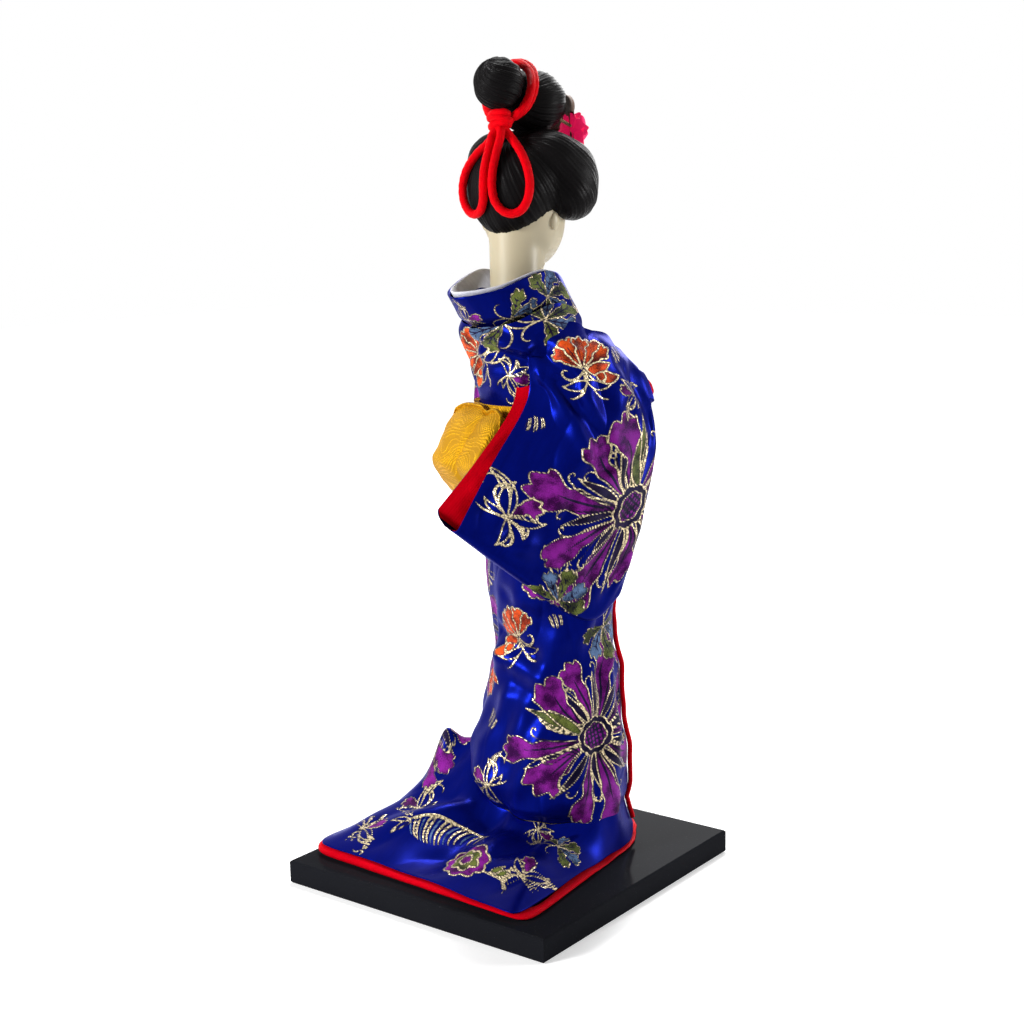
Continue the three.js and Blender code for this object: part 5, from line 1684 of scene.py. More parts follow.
# Drawn back, so that its lining shows as a red strip
RIGHT_SLEEVE = Sleeve(
    side="right",
    flat=(0.135, 0.095),
    nets=((
        ((-17, 19, 203), (-21, 6, 201), (-23, -7, 197), (-22, -19, 189)),
        ((-19, 21, 190), (-30, 9, 189), (-32, -8, 185), (-29, -25, 178)),
        ((-20, 22, 174), (-33, 8, 168), (-35, -9, 163), (-31, -28, 156)),
        ((-22, 39, 152), (-33, 21, 141), (-37.5, -2, 131), (-33, -20, 128)),
        ((-24, 56, 129), (-31, 32, 110), (-35, 8, 93), (-33, -9, 100)),
    ), (
        ((-13, 18, 202), (-17, 6, 200), (-19, -7, 196), (-18, -18, 188)),
        ((-9, 20, 190), (-18, 8, 189), (-21, -8, 185), (-18, -24, 178)),
        ((-15.8, 25.5, 173), (-28.5, 9, 168), (-30, -8, 163), (-26, -27, 156)),
        ((-17.8, 43, 154), (-28.5, 24, 141), (-32.5, 0, 131), (-28.5, -19, 128)),
        ((-13, 58, 136), (-24, 33, 112), (-30.5, 8, 94.5), (-29, -9, 101)),
    )),
    layouts=((
        (PEONY, 56.5, 64.5, 172, 1.38), (BLOSSOM, 20, 19, 170, 1.15), (SCROLL, 13, 86, 160, 1.4),
        (HATCH, 6, 46, 60, 0.8), (SCROLL, 42, 24, 30, 0.7), (LEAVES, 46, 104, 160, 0.9),
        (HATCH, 34, 10, 20, 0.8),
    ), ((PEONY, 30, 60, 20, 0.9), (LEAVES, 14, 88, 80, 0.8))),
    creases=(
        (3.5, 25, 29, 52, 1.9, 3.2), (11, 27, 37, 52, -1.9, 3.0), (20, 30, 44, 50, 1.2, 3.6),
        (2, 34, 16, 60, -1.0, 3.4), (4, 14, 16, 24, -1.3, 2.2), (6, 8, 24, 16, 1.0, 2.4),
        (26, 6, 44, 28, 1.2, 4.0), (36, 14, 56, 34, -1.2, 3.6), (12, 96, 44, 88, 1.2, 4.5),
        (22, 104, 54, 100, -1.0, 4.0), (8, 66, 12, 88, 1.0, 3.6), (54, 74, 64, 96, -1.2, 4.0),
    ),
)

# Hanging straight
LEFT_SLEEVE = Sleeve(
    side="left",
    flat=(0.1, 0.085),
    nets=((
        ((15, 21, 203), (23, 12, 201), (27, -3, 198), (25, -19, 192)),
        ((18, 17, 190), (30, 12, 189), (34, -6, 187), (31, -26, 183)),
        ((24, 15, 172), (35, 9, 167), (37.5, -9, 164), (33, -30, 161)),
        ((32, 12, 143), (37, 3, 137), (39.5, -11, 134), (34.5, -29.6, 133)),
        ((34, 4, 114), (36.5, 0, 107), (38, -12, 105), (33.5, -29, 108)),
    ), (
        ((11, 20, 202), (18, 11, 200), (22, -3, 197), (21, -18, 191)),
        ((9, 15, 190), (18, 10, 189), (22, -7, 187), (20, -25, 183)),
        ((20, 14, 172), (30.4, 8, 167), (33, -8, 164), (28, -29, 161)),
        ((28.6, 11, 143), (32.2, 2, 137), (34.8, -10, 134), (30, -28.8, 133)),
        ((30, 4, 115), (32, 0, 108), (33.8, -11, 106), (29.5, -28.2, 109)),
    )),
    layouts=((
        (PEONY, 24, 56, 20, 1), (BLOSSOM, 20, 16, 170, 0.9), (SCROLL, 36, 84, 20, 0.7),
    ), ((LEAVES, 20, 60, 80, 0.8),)),
    creases=((12, 24, 18, 84, 1.2, 4.5), (26, 26, 30, 88, -1.0, 4.0), (8, 14, 26, 24, -0.8, 3.0)),
)


@dataclass(frozen=True)
class Sash:
    """The gold sash with its knot at the back, the red cord round it and the scarf above it."""

    bottom: float = 139.5
    top: float = 171.5
    inside: float = 0.5
    outside: float = 2.4
    cord_height: float = 154.0
    cord_radius: float = 1.1
    knot_height: float = 151.0
    half: float = 17.5

    def band(self) -> None:
        """The wound band, with rounded edges and slack folds along it."""
        angle, rows, rounding = circle(400)[None], 90, [self.inside, 1.2, 2.0]
        edges = np.full(3, self.bottom + 0.4), np.full(3, self.top - 0.4)
        h = np.concatenate([edges[0], np.linspace(self.bottom, self.top, rows), edges[1]])[:, None]
        out = np.concatenate([rounding, np.full(rows, self.outside), rounding[::-1]])[:, None]
        s, t = np.broadcast_arrays(angle * 25, h)
        body = window(h, self.bottom, self.bottom + 2, self.top - 2, self.top)
        slack = 0.35 * body * (np.sin(h / 2.9 + 0.8 * np.sin(2 * angle)) - 0.4)
        marks = {**cloth_marks(s, t), "flow": self.flow_marks(s, t, 1)}
        patches = [Patch(ROBE.point(angle, h, out + slack), closed=True, marks=marks)]
        band = add_piece("sash_band_cloth", patches, Body.DOLL, SASH_GOLD, "sash_band")

    def flow_marks(self, s: Array, t: Array, seed: int) -> Array:
        """Distances to the flowing lines of the gold brocade.

        A line lies where t, bent by slow sine waves, crosses a whole multiple of the spacing.

        Args:
            s: Place along the cloth.
            t: Place across it.
            seed: Shifts the swirls.

        Returns:
            The distance less half a line's width.
        """
        a, b, c = s / 4.4 + seed, (s + t) / 3.3 + 2 * seed, (t - 0.6 * s) / 2.7
        bent = t + 2.6 * np.sin(a) + 1.7 * np.sin(b) + 1.4 * np.cos(c)
        by_s = 2.6 / 4.4 * np.cos(a) + 1.7 / 3.3 * np.cos(b) + 0.6 * 1.4 / 2.7 * np.sin(c)
        by_t = 1 + 1.7 / 3.3 * np.cos(b) - 1.4 / 2.7 * np.sin(c)
        spacing, steep = 1.65, np.clip(np.hypot(by_s, by_t), 0.5, 3)
        return np.abs((bent / spacing + 0.5) % 1 - 0.5) * spacing / steep - 0.24

    def knot(self) -> None:
        """The knot: a padded fold with a ridge, drawn in at both ends and hollow at its top."""
        height = self.knot_height
        axis = float(through(ROBE.heights, ROBE.middles, np.array([height]))[0])
        inner = 2 * axis - ROBE.front_y(height) + 2.6
        section = np.array([
            (inner, 168.5), (inner + 4, 171.3), (29.5, 171.3), (35.8, 165), (41.2, 155.5), (43.3, 151),
            (40.8, 145.5), (35.8, 138.3), (30.5, 133.6), (inner + 2, 133.0), (inner, 137), (inner, 168.5),
        ])
        ring = even_curve(section, 161)
        share = np.linspace(-1, 1, 150)
        draw = 1 - 0.2 * np.abs(share)**4 - 0.55 * np.clip((np.abs(share) - 0.88) / 0.12, 0, 1)**2
        middle = np.array([(inner + 43) / 2, height])
        yz = middle + (ring[:-1] - middle)[None] * draw[:, None, None]
        s, t = np.broadcast_arrays(share[:, None] * self.half, run_lengths(ring[:, None], 0)[:-1, 0])
        points = np.concatenate([s[..., None], yz], axis=-1)
        puff = 0.5 * np.sin(s / 3.4 + 0.6 * np.sin(t / 6)) * bell((t - 22) / 14) + 0.35 * waves(s, t, 4, 8.0)
        x, y, z = (points[..., k].copy() for k in range(3))
        points[..., 2] -= 3.2 * bell(np.hypot(x + 6, y - 28.5) / 3.0) * smoothstep(z, 164, 170)
        fold = -1.0 * bell((x + 7 - 0.35 * (y - 28)) / 1.6) * smoothstep(y, 24, 34)
        points[..., 1] += (puff + fold) * smoothstep(y, inner + 3, inner + 9)
        marks = {**cloth_marks(s, t), "flow": self.flow_marks(s * 1.1, t, 3)}
        knot = add_piece("sash_knot_pad", [solid(points, marks)], Body.DOLL, SASH_GOLD, "sash_knot")

    def cord(self) -> None:
        """The braided cord across the sash, with its flat knot in front."""
        angle = np.radians(np.linspace(127, 413, 260))
        path = ROBE.point(angle, self.cord_height, self.outside + self.cord_radius + 0.3)
        tie = np.array([0, ROBE.front_y(self.cord_height, self.outside + 2.1), self.cord_height])
        around, up, ball = ball_grid(48, 24)
        lobes = 1 + 0.12 * np.cos(2 * around) * np.cos(up)**2 + 0.05 * np.sin(9 * around + 4 * up)
        strand = tube_patch(path, np.full(260, self.cord_radius), 16, braid(self.cord_radius))
        bead = solid(tie + ball * lobes[..., None] * [3.3, 1.75, 2.6])
        add_piece("sash_braid", [strand, bead], Body.DOLL, CORD_RED, "sash_cord")

    def scarf(self) -> None:
        """The soft roll of dimpled silk that shows above the sash in front."""
        angle = np.radians(np.linspace(205, 335, 150))
        radii = 1.55 * np.clip(np.sin(np.linspace(0.35, math.pi - 0.35, 150)), 0, 1)**0.3
        dimples = lambda run, turn: 0.09 * np.sin(run * 2.4) * np.sin(4 * turn) + 0.08 * np.sin(run * 0.7)
        tube = tube_patch(ROBE.point(angle, 173.8, 1.95), radii, 28, dimples)
        scarf = add_piece("sash_scarf_roll", [tube], Body.DOLL, SCARF_RED, "sash_scarf")

    def build(self) -> None:
        """Makes the whole sash."""
        for part in (self.band, self.knot, self.cord, self.scarf):
            part()


def braid(radius: float) -> Swell:
    """The swell of a braided cord: strands that wind both ways round it.

    Args:
        radius: The cord's radius.

    Returns:
        The share added to the radius at a distance along and an angle round.
    """
    wave = math.tau / (3.4 * radius)
    strand = lambda run, turn: 0.05 * np.abs(np.sin(2 * turn + run * wave))
    return lambda run, turn: strand(run, turn) + strand(-run, turn) - 0.04


@dataclass(frozen=True)
class Arm:
    """A wrapped wire arm and its small white hand."""

    side: str
    path: tuple[Point, ...]
    radius: float = 2.522

    def hand(self) -> list[Patch]:
        """A flattened palm with four tapering fingers held together and a thumb.

        Returns:
            Its closed tubes.
        """
        end, before = np.array(self.path[-1], float), np.array(self.path[-2], float)
        ahead = unit(end - before)
        up = unit(np.array([0, 0, 1.0]) - ahead * ahead[2])
        across = np.cross(ahead, up)
        limbs = [
            (((0, 0, 0), (2.5, 0, 0), (5, 0.1, 0), (7.4, 0.1, 0)), (1.5, 2.0, 2.5, 2.1), 0.62),
            (((2.4, 1.4, -0.2), (4.6, 3.0, -0.6), (7.4, 3.3, -0.9)), (0.95, 0.8, 0.5), 0.95),
        ]
        for reach, rise in ((12.2, 1.75), (13.0, 0.6), (12.6, -0.55), (11.4, -1.7)):
            finger = ((5.4, rise * 0.85, 0.1), (8.2, rise, 0.0), (reach, rise * 0.72, 0.7))
            limbs.insert(-1, (finger, (0.85, 0.72, 0.42), 0.95))
        patches = []
        for points, radii, flat in limbs:
            line = end + ahead * 0.4 + even_curve(points, 26) @ np.stack([ahead, up, across])
            size = curve_points(np.array(radii)[:, None], np.linspace(0, 1, 26))[:, 0]
            away = tube_patch(line, size, 18).points - line[:, None]
            thin = np.einsum("ijk,k->ij", away, across)[..., None] * across * (1 - flat)
            patches.append(solid(line[:, None] + away - thin, IVORY.blank(away)))
        return patches

    def build(self) -> None:
        """Makes the arm and the hand."""
        wrinkles = lambda run, turn: 0.04 * np.sin(run * 2.1 + 2 * turn) + 0.03 * np.sin(run * 5 - turn)
        tube = tube_patch(even_curve(self.path, 90), np.full(90, self.radius), 24, wrinkles)
        arm = add_piece(f"{self.side}_wrapped_arm", [tube], Body.DOLL, ARM_WRAP, f"{self.side}_arm")
        add_piece(f"{self.side}_hand_fingers", self.hand(), Body.DOLL, IVORY, f"{self.side}_hand")


RIGHT_ARM = Arm("right", (
    (-9, 12, 186), (-18, 11, 186), (-25, 4, 184), (-26, -8, 182), (-20, -20, 180), (-13, -25, 179),
))
LEFT_ARM = Arm("left", (
    (9, 13, 186), (18, 14, 186), (26, 7, 185), (28, -6, 184), (24, -19, 185), (17, -26, 186),
))


@dataclass(frozen=True)
class Head:
    """The head and neck, with a plain painted doll's face."""

    chin: float = 220.0
    crown: float = 261.0
    width: float = 15.6
    front: float = 16.4
    back: float = 16.0
    forward: float = 5.5
    shares: tuple[float, ...] = (0, 0.05, 0.14, 0.27, 0.42, 0.56, 0.72, 0.86, 0.95, 1)
    wide: tuple[float, ...] = (0.16, 0.4, 0.66, 0.86, 0.97, 1, 0.97, 0.78, 0.5, 0.14)
    fore: tuple[float, ...] = (0.58, 0.78, 0.92, 0.97, 0.96, 0.94, 0.93, 0.74, 0.46, 0.12)
    aft: tuple[float, ...] = (-0.2, 0.1, 0.42, 0.72, 0.93, 1, 1, 0.86, 0.6, 0.2)
    columns: int = 300

    def flesh(self, points: Array) -> Array:
        """How far points lie outside the head and neck, blended where the two meet."""
        x, y, h = np.moveaxis(points, -1, 0)
        share = np.clip((h - self.chin) / (self.crown - self.chin), 0, 1)
        wide, fore, aft = (through(self.shares, curve, share) for curve in (self.wide, self.fore, self.aft))
        wide = wide * self.width
        deep = np.maximum(np.where(y + self.forward < 0, fore * self.front, aft * self.back), 0.5)
        flat = (np.hypot(x / wide, (y + self.forward) / deep) - 1) * np.minimum(wide, deep)
        past = np.maximum(np.maximum(self.chin - h, h - self.crown), 0)
        skull = np.where(past > 0, np.hypot(np.maximum(flat, 0), past), flat)
        neck = np.hypot(x, y) - (9.7 + 5 * (1 - smoothstep(h, 196, 205))**1.5)
        return smooth_union([skull, neck + np.maximum(h - 240, 0)], 0.8)

    def skin(self) -> Patch:
        """The head and neck in one surface, with its features modelled and the paints marked."""
        levels = [np.linspace(*span) for span in ((196, 214, 24), (214.3, 227, 72), (227.3, 260.6, 124))]
        angle = circle(self.columns)[None] + math.pi / 2
        h, angle = np.broadcast_arrays(np.concatenate(levels)[:, None], angle)
        origins = np.stack([0 * h, 0 * h - 3.0 * smoothstep(h, 210, 222), h], axis=-1)
        points = farthest_skin(origins, flat_way(angle), 25.0, self.flesh)
        face = smoothstep(-np.sin(angle), 0.2, 0.7) * smoothstep(h, 220, 224)
        marks = self.paint(points[..., 0], h, face)
        points[..., 1] -= self.relief(points[..., 0], h) * face
        return solid(points, marks)

    @staticmethod
    def relief(x: Array, h: Array) -> Array:
        """How far the face's features stand out.

        Args:
            x: Place to the doll's left.
            h: Height.

        Returns:
            The sum of nose, nostrils, lips, chin, cheeks, eye hollows and lids.
        """
        side = np.abs(x)
        lips = bell((h - 230.9) / 0.85) + 0.9 * bell((h - 229.3) / 0.85)
        return (
            2.3 * bell(x / 1.7) * window(h, 233.2, 235.2, 235.4, 246.5)
            + 0.9 * bell(x / 2.9) * bell((h - 234.9) / 1.5)
            + 0.75 * bell(x / 3.0) * lips - 0.4 * bell(x / 3.4) * bell((h - 230.15) / 0.35)
            + 0.9 * bell(x / 4.2) * bell((h - 224.6) / 2.6)
            + 0.5 * (bell((side - 7.6) / 4.2) + bell((side + 7.6) / 4.2)) * bell((h - 233) / 5)
            - 0.75 * (bell((side - 5.6) / 3.6) + bell((side + 5.6) / 3.6)) * bell((h - 241) / 2.3)
            + 0.55 * (bell((side - 5.6) / 2.9) + bell((side + 5.6) / 2.9)) * bell((h - 240.4) / 1.25)
        )

    @staticmethod
    def paint(x: Array, h: Array, face: Array) -> Marks:
        """Marks of the painted eyes, brows, lips and rouge, each from a distance to a simple curve.

        Args:
            x: Place to the doll's left.
            h: Height.
            face: How much a point belongs to the face, from 0 to 1.

        Returns:
            The marks, from 0 to 1.
        """
        side = np.abs(x)
        lift, across = 0.13 * (side - 5.6), (side - 5.6) / 2.7
        lid, under = 240.5 + lift + 0.85 * (1 - across**2), 240.1 + lift - 0.55 * (1 - across**2)
        in_eye = (np.abs(across) < 1) * smoothstep(lid - h, -0.05, 0.12) * smoothstep(h - under, -0.05, 0.12)
        lash = (np.abs(across) < 1.12) * (1 - smoothstep(np.abs(h - lid), 0.16, 0.34))
        iris = in_eye * (1 - smoothstep(np.hypot(side - 5.4, (h - 240.5 - lift)), 0.95, 1.15))
        arch = 244.6 + 0.09 * side - 0.06 * (side - 5.8)**2
        brow = (1 - smoothstep(np.abs(h - arch), 0.18, 0.5)) * (1 - smoothstep(np.abs(side - 5.9), 2.4, 3.4))
        upper = 230.5 + 0.95 * bell((side - 0.9) / 1.2) - 0.1
        lower = 229.9 - 0.95 * np.sqrt(np.clip(1 - (side / 2.3)**2, 0, 1))
        lip = (side < 2.5) * smoothstep(upper - h, -0.12, 0.12) * smoothstep(h - lower, -0.12, 0.12)
        rouge = 0.16 * bell((side - 8) / 3.4) * bell((h - 235) / 3.6)
        rouge = rouge + 0.14 * bell((side - 5.6) / 3) * bell((h - 242) / 1.6)
        marks = {"eye_white": in_eye, "iris": np.maximum(iris, lash), "brow": brow, "lip": lip}
        return {name: value * (face > 0.3) for name, value in {**marks, "rouge": rouge}.items()}

    def build(self) -> None:
        """Makes the head, with small shell-shaped ears that are mostly under the hair."""
        _, _, ball = ball_grid(40, 20)
        ears = [ball * [1.3, 2.2, 3.4] + [side * 14.8, -3.0, 237] for side in (-1, 1)]
        patches = [self.skin(), *(solid(ear, IVORY.blank(ear)) for ear in ears)]
        add_piece("ivory_head", patches, Body.HEAD, IVORY, "head")


@dataclass(frozen=True)
class HairMass:
    """Combed hair over one or more stretched balls, smoothly joined, with locks along the comb's way."""

    name: str
    nodes: tuple[str, ...]
    balls: tuple[tuple[Point, Point], ...]
    pole: Point
    lean: float
    locks: int
    seed: int
    centre: Point | None = None
    blend: float = 1.1
    rows: int = 150
    columns: int = 260
    size: float = 15.0

    def outside(self, points: Array) -> Array:
        """How far points lie outside the joined balls."""
        balls = (np.array(ball) for ball in self.balls)
        return smooth_union([ball_distance(points, *ball) for ball in balls], self.blend)

    def build(self) -> None:
        """Makes the mass: rays from its centre out to its skin, with grooves between the locks.

        A ray's direction is the pole times the sine of the latitude plus a circle round it times the
        cosine, and the locks run from pole to pole.
        """
        pole = unit(np.array(self.pole, float))
        first = unit(np.cross(pole, [0.31, 0.95, 0.1]))
        turn, up, ball = ball_grid(self.columns, self.rows, 1.55)
        ray = ball @ np.stack([first, np.cross(pole, first), pole])
        centre = np.array(self.centre or self.balls[0][0], float)
        points = farthest_skin(np.broadcast_to(centre, ray.shape), ray, 34.0, self.outside)
        swirl = turn + self.lean * up
        grooves = (
            0.1 * np.sin(self.locks * swirl + 1.3 * np.sin(3 * swirl + self.seed))
            + 0.07 * np.sin(2.6 * self.locks * swirl + self.seed + 2 * np.sin(5 * swirl))
            + 0.16 * np.sin(7 * swirl + 2 * up + self.seed)
        )
        points = points + ray * (grooves * np.sqrt(np.cos(up)))[..., None]
        patches = [solid(points, cloth_marks(swirl * self.size, up * self.size))]
        add_piece(self.name, patches, Body.HEAD, HAIR_BLACK, *self.nodes)


@dataclass(frozen=True)
class Hairdress:
    """The hair with its red cord, comb and flower."""

    masses: tuple[HairMass, ...] = (
        HairMass(
            "hair_combed_shell", ("hair_back", "hair_front", "hair_side_right", "hair_side_left"),
            (((0, 1.5, 249), (17, 14.5, 16)), ((-14.4, -12.4, 252.4), (10.8, 12.4, 13.2)),
             ((14.4, -12.4, 252.4), (10.8, 12.4, 13.2)), ((0, -11, 259.0), (16, 13.6, 10.0)),
             ((-9.5, -5.5, 259.0), (12, 10, 10)), ((9.5, -5.5, 259.0), (12, 10, 10)),
             ((0, 7.5, 243.3), (10.5, 7, 10.5)), ((-17, -11.6, 246.0), (8.2, 10.5, 8.8)),
             ((17, -11.6, 246.0), (8.2, 10.5, 8.8))),
            (0, 0.45, 1), 0.25, 34, 1, centre=(0, -5, 252), blend=1.6, rows=190, columns=380,
        ),
        HairMass(
            "hair_topknot_mass", ("hair_topknot",), (((0, -12, 279.5), (12.9, 12.9, 11.4)),),
            (0, 1, 0.25), 0.4, 24, 5,
        ),
        HairMass("hair_bun_roll", ("hair_bun",), (((0, 9.2, 285), (8.9, 8.6, 9.1)),), (0.2, 0.6, 1), 0.9, 18, 6),
    )
    cord: float = 3.0
    ring: tuple[Point, ...] = (
        (-3.4, 6.6, 272.8), (-7.6, 4.6, 276.5), (-9.6, 2.4, 283), (-6.8, -0.6, 289.6), (0, -2.4, 292.6),
        (6.8, -0.6, 289.6), (9.6, 2.4, 283), (7.6, 4.6, 276.5), (3.4, 6.6, 272.8),
    )
    loop: tuple[Point, ...] = (
        (-1.0, 8.9, 270.6), (-3.1, 8.2, 267.4), (-5.6, 8.4, 264.6), (-9.6, 10.2, 260.6), (-12.8, 11.7, 255.5),
        (-14.2, 12.4, 250), (-13.6, 12.9, 244.8), (-11.2, 13.5, 241), (-7.9, 14.6, 239.7), (-4.6, 15.9, 241),
        (-2.4, 17.2, 244.6), (-1.8, 17.8, 249.6), (-1.8, 17, 255), (-1.8, 14.8, 260.2), (-1.8, 12.6, 264.4),
        (-1.8, 11.3, 267.2), (-0.7, 9.6, 269.6),
    )

    def loops(self) -> None:
        """The two free loops that hang from the knot over the back hair."""
        radius = self.cord / 2
        for side, sign in (("right", 1), ("left", -1)):
            route = even_curve(np.array(self.loop) * [sign, 1, 1], 170)
            tube = tube_patch(route, np.full(170, radius), 18, braid(radius))
            name = f"hair_cord_loop_{side}"
            piece = add_piece(f"{name}_braid", [tube], Body.HEAD, CORD_RED, name)
            world = HEAD_FRAME.to_world(route) * MM

    def tie(self) -> None:
        """The cord's two strands round the bun and the knot that holds them."""
        radius = self.cord / 2
        ring = even_curve(self.ring, 150)
        strands = [tube_patch(ring + shift, np.full(150, radius * share), 18, braid(radius))
                   for shift, share in (([0, 0.5, 0], 1.0), ([0, -2.0, 0.4], 0.9))]
        add_piece("hair_cord_ring_braid", strands, Body.HEAD, CORD_RED, "hair_cord_ring")
        turns, thick = [], 1.35
        shapes = (
            (270.6, 3.4, 1.7, -0.7), (272.6, 3.9, 2.0, 0.5), (274.2, 3.2, 1.8, -0.3), (268.4, 1.9, 1.2, 0.2),
        )
        for height, wide, deep, lean in shapes:
            a = np.linspace(0, math.tau, 60)
            path = np.stack([wide * np.cos(a), deep * np.sin(a), 0.9 * np.sin(a + lean)], axis=1)
            turns.append(tube_patch(path + [0, 8.8, height], np.full(60, thick), 16, braid(thick)))
        core = even_curve([(0, 9.4, 266.2), (0, 8.9, 269), (0, 8.8, 272), (0, 8.6, 275)], 40)
        turns.append(tube_patch(core, np.linspace(1.6, 2.6, 40), 20))
        add_piece("hair_cord_knot_turns", turns, Body.HEAD, CORD_RED, "hair_cord_knot")

    def comb(self) -> None:
        """The comb: a thin arched plate round the front of the topknot, toothed at its foot."""
        share, v = np.linspace(0, 1, 160)[None], np.linspace(0, 1, 46)[:, None]
        foot, middle, round_at = 265.0, 279.5, 11.6
        top = 272 + 11 * np.sqrt(np.sin(math.pi * (0.04 + 0.92 * share)))
        h = foot + (top - foot) * v
        angle = np.radians(-142 + 72 * share)
        taper = np.where(np.abs((share * 26) % 1 - 0.5) < 0.3, 1.0, 0.25)
        shrink = np.sqrt(np.clip(1 - (np.maximum(h, 276) - middle)**2 / round_at**2, 0, 1))
        faces = []
        for outside in (2.0, 3.5):
            r = 13 * shrink + np.where(v < 0.3, (outside - 2.75) * taper + 2.75, outside)
            faces.append(np.stack([r * np.cos(angle), r * np.sin(angle) - 12, h], axis=-1))
        points = there_and_back(*faces)
        patches = [Patch(points, marks=plain_marks(points))]
        add_piece("hair_comb_plate", patches, Body.HEAD, COMB_BROWN, "comb")

    def flower(self) -> None:
        """The flower: two whorls of cupped silk petals round a bead."""
        heading = math.radians(262)
        ahead, across = flat_way(heading), flat_way(heading + math.pi / 2)
        centre = np.array([-10.6, -22.6, 269.2])
        t, w = np.meshgrid(np.linspace(0, 1, 26), np.linspace(-1, 1, 22))
        patches = []
        for whorl, (count, reach, cup, lift) in enumerate(((6, 6.9, 1.9, -0.5), (5, 4.8, 2.4, 0.5))):
            for k in range(count):
                turn = math.tau * (k + 0.5 * whorl) / count
                side = w * 0.64 * reach * np.sqrt(np.sin(math.pi * (0.04 + 0.86 * t)))
                r = reach * t * (1 - 0.2 * w**2 * t) + 0.25 * np.cos(7 * w + k) * t**4
                out = lift + cup * t**2 + 0.7 * w**2 * t + 0.4 * np.sin(6 * w + k) * t**3
                a, b = np.cos(turn) * r - np.sin(turn) * side, np.sin(turn) * r + np.cos(turn) * side
                face = centre + out[..., None] * ahead + a[..., None] * across + b[..., None] * [0, 0, 1]
                marks = cloth_marks(there_and_back(r, r), there_and_back(side, side), float(k))
                patches.append(Patch(there_and_back(face, face - 0.25 * ahead), marks=marks))
        patches.append(solid(centre + ahead * 1.6 + 1.1 * ball_grid(30, 16)[2]))
        add_piece("hairpin_silk_flower", patches, Body.HEAD, PETAL_PINK, "hairpin_flower")

    def build(self) -> None:
        """Makes the hair and what it wears."""
        for part in (*(mass.build for mass in self.masses), self.tie, self.comb, self.flower):
            part()


# The carried-over solids, the stage and the camera
def finish_solids() -> None:
    """Gives each solid that stays in sight, or inside the doll, its own finish."""
    finishes = {
        "board": BOARD_BLACK, "board_screw_left": SCREW_STEEL, "board_screw_right": SCREW_STEEL,
        "skirt_core": STRAW, "torso_core": UNDER_CLOTH, "neck_stick": PIN_WOOD, "hairpin_stick": PIN_WOOD,
    }
    for name, finish in finishes.items():
        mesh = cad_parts[name].data
        mesh.materials.clear()
        mesh.materials.append(finish.material())
        LOG.info("%s: %s", name, finish.name)


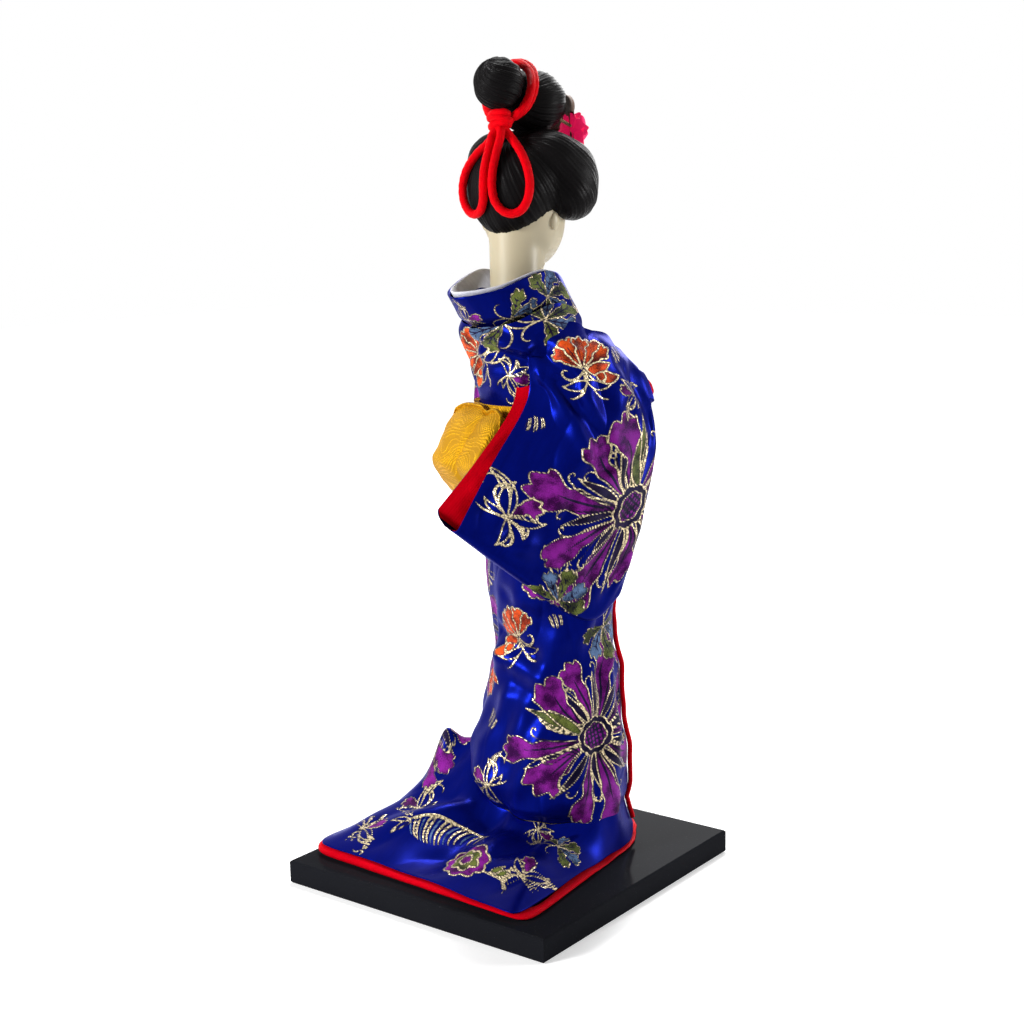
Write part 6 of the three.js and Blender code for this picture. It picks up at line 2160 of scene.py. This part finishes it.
@dataclass(frozen=True)
class Studio:
    """A pale floor, soft light and the camera at the photograph's place."""

    azimuth: float = 217.924
    elevation: float = 10.381
    roll: float = -1.284
    place: Point = (-0.371292, 0.471348, 0.249528)
    lens: float = 57.694
    aim: Point = (0, 0, 0.14)
    lamps: tuple[tuple[str, Point, float, float], ...] = (
        ("key_softbox", (0.42, 0.98, 0.5), 0.25, 15.0), ("top_softbox", (0.2, -0.35, 1.05), 0.25, 9.0),
        ("side_softbox", (-0.8, -0.55, 0.34), 0.28, 6.0), ("front_softbox", (0.3, -0.95, 0.62), 0.6, 6.0),
    )
    half: float = 3.0

    @staticmethod
    def put(name: str, data: bpy.types.ID, axes: Sequence[Array], place: Point = (0, 0, 0)) -> Object:
        """Adds an object.

        Args:
            name: The object's name.
            data: What it shows.
            axes: Its three axes.
            place: Its place.

        Returns:
            The object.
        """
        matrix = np.eye(4)
        matrix[:3] = np.stack([*axes, place], axis=1)
        made = bpy.data.objects.new(name, data)
        made.matrix_world = Matrix(matrix.tolist())
        bpy.context.scene.collection.objects.link(made)
        return made

    def camera(self) -> None:
        """Sets the camera: its back axis from azimuth and elevation, turned by the roll about that axis."""
        a, e, r = (math.radians(x) for x in (self.azimuth, self.elevation, self.roll))
        back = np.array([math.sin(a) * math.cos(e), -math.cos(a) * math.cos(e), math.sin(e)])
        right = unit(np.cross(-back, [0, 0, 1.0]))
        up = np.cross(right, -back)
        right, up = right * math.cos(r) + up * math.sin(r), up * math.cos(r) - right * math.sin(r)
        data = bpy.data.cameras.new("photo_camera")
        data.lens, data.sensor_width, data.sensor_fit = self.lens, 36.0, "HORIZONTAL"
        data.clip_start, data.clip_end = 0.01, 20.0
        bpy.context.scene.camera = self.put("photo_camera", data, [right, up, back], self.place)

    def lamp(self, name: str, place: Point, size: float, power: float) -> None:
        """Adds a square soft lamp aimed at the doll's middle.

        Args:
            name: Its name.
            place: Where it stands.
            size: Its side.
            power: Its power.
        """
        data = bpy.data.lights.new(name, "AREA")
        data.size, data.energy = size, power
        back = unit(np.array(place) - np.array(self.aim))
        right = unit(np.cross([0, 0, 1.0], back))
        self.put(name, data, [right, np.cross(back, right), back], place)

    def world(self) -> None:
        """Makes the world white to the camera, to gloss and through glass, and dim to matte surfaces."""
        world = bpy.data.worlds.new("pale_studio")
        bpy.context.scene.world = world
        world.use_nodes = True
        graph, lit = Graph(world.node_tree), 0.08
        path = graph.node("ShaderNodeLightPath")
        seen = graph.math("MAXIMUM", path.outputs["Is Camera Ray"], path.outputs["Is Transmission Ray"])
        seen = graph.math("MAXIMUM", seen, path.outputs["Is Glossy Ray"])
        strength = graph.node("ShaderNodeMapRange", in0=seen, in1=0.0, in2=1.0, in3=lit, in4=1.0).outputs[0]
        graph.set(world.node_tree.nodes["Background"], in0=(1.0, 1.0, 1.0, 1.0), in1=strength)

    def floor(self) -> None:
        """Makes the floor of pale paper, which shines to the camera and fades into the white around."""
        mesh, half, white = bpy.data.meshes.new("pale_floor"), self.half, (1.0, 1.0, 1.0)
        corners = [(-half, -half, 0), (half, -half, 0), (half, half, 0), (-half, half, 0)]
        mesh.from_pydata(corners, [], [(0, 1, 2, 3)])
        material = bpy.data.materials.new("pale_paper")
        material.use_nodes = True
        graph = Graph(material.node_tree)
        seen, position = graph.node("ShaderNodeLightPath").outputs["Is Camera Ray"], graph.position()
        far = graph.node("ShaderNodeVectorMath", {"operation": "LENGTH"}, in0=position).outputs["Value"]
        shine = graph.times(seen, graph.remap(far, 0.1, 0.7, 0.42, 0.95))
        graph.set(
            material.node_tree.nodes["Principled BSDF"], Roughness=0.9, Emission_Strength=1.0,
            Base_Color=graph.blend(graph.noise(position, 60.0), rgba(white, 0.8), rgba(white, 0.83)),
            Emission_Color=graph.blend(shine, rgba(white, 0.0), rgba(white)),
        )
        mesh.materials.append(material)
        self.put("pale_floor", mesh, np.eye(3))

    def build(self) -> None:
        """Makes the camera, the lamps, the world and the floor."""
        bpy.context.scene.view_settings.view_transform = "Standard"
        self.camera()
        for lamp in self.lamps:
            self.lamp(*lamp)
        self.world()
        self.floor()


def main() -> None:
    """Builds the stage, the cords and then every sub-assembly."""
    logging.basicConfig(level=logging.INFO, format="%(name)s: %(message)s")
    dress = Hairdress()
    Studio().build()
    dress.loops()
    finish_solids()
    robe = (Skirt(), Bodice(), Collar(), RIGHT_SLEEVE, LEFT_SLEEVE, Sash())
    for assembly in (*robe, RIGHT_ARM, LEFT_ARM, Head(), dress):
        assembly.build()


if __name__ == "__main__":
    main()
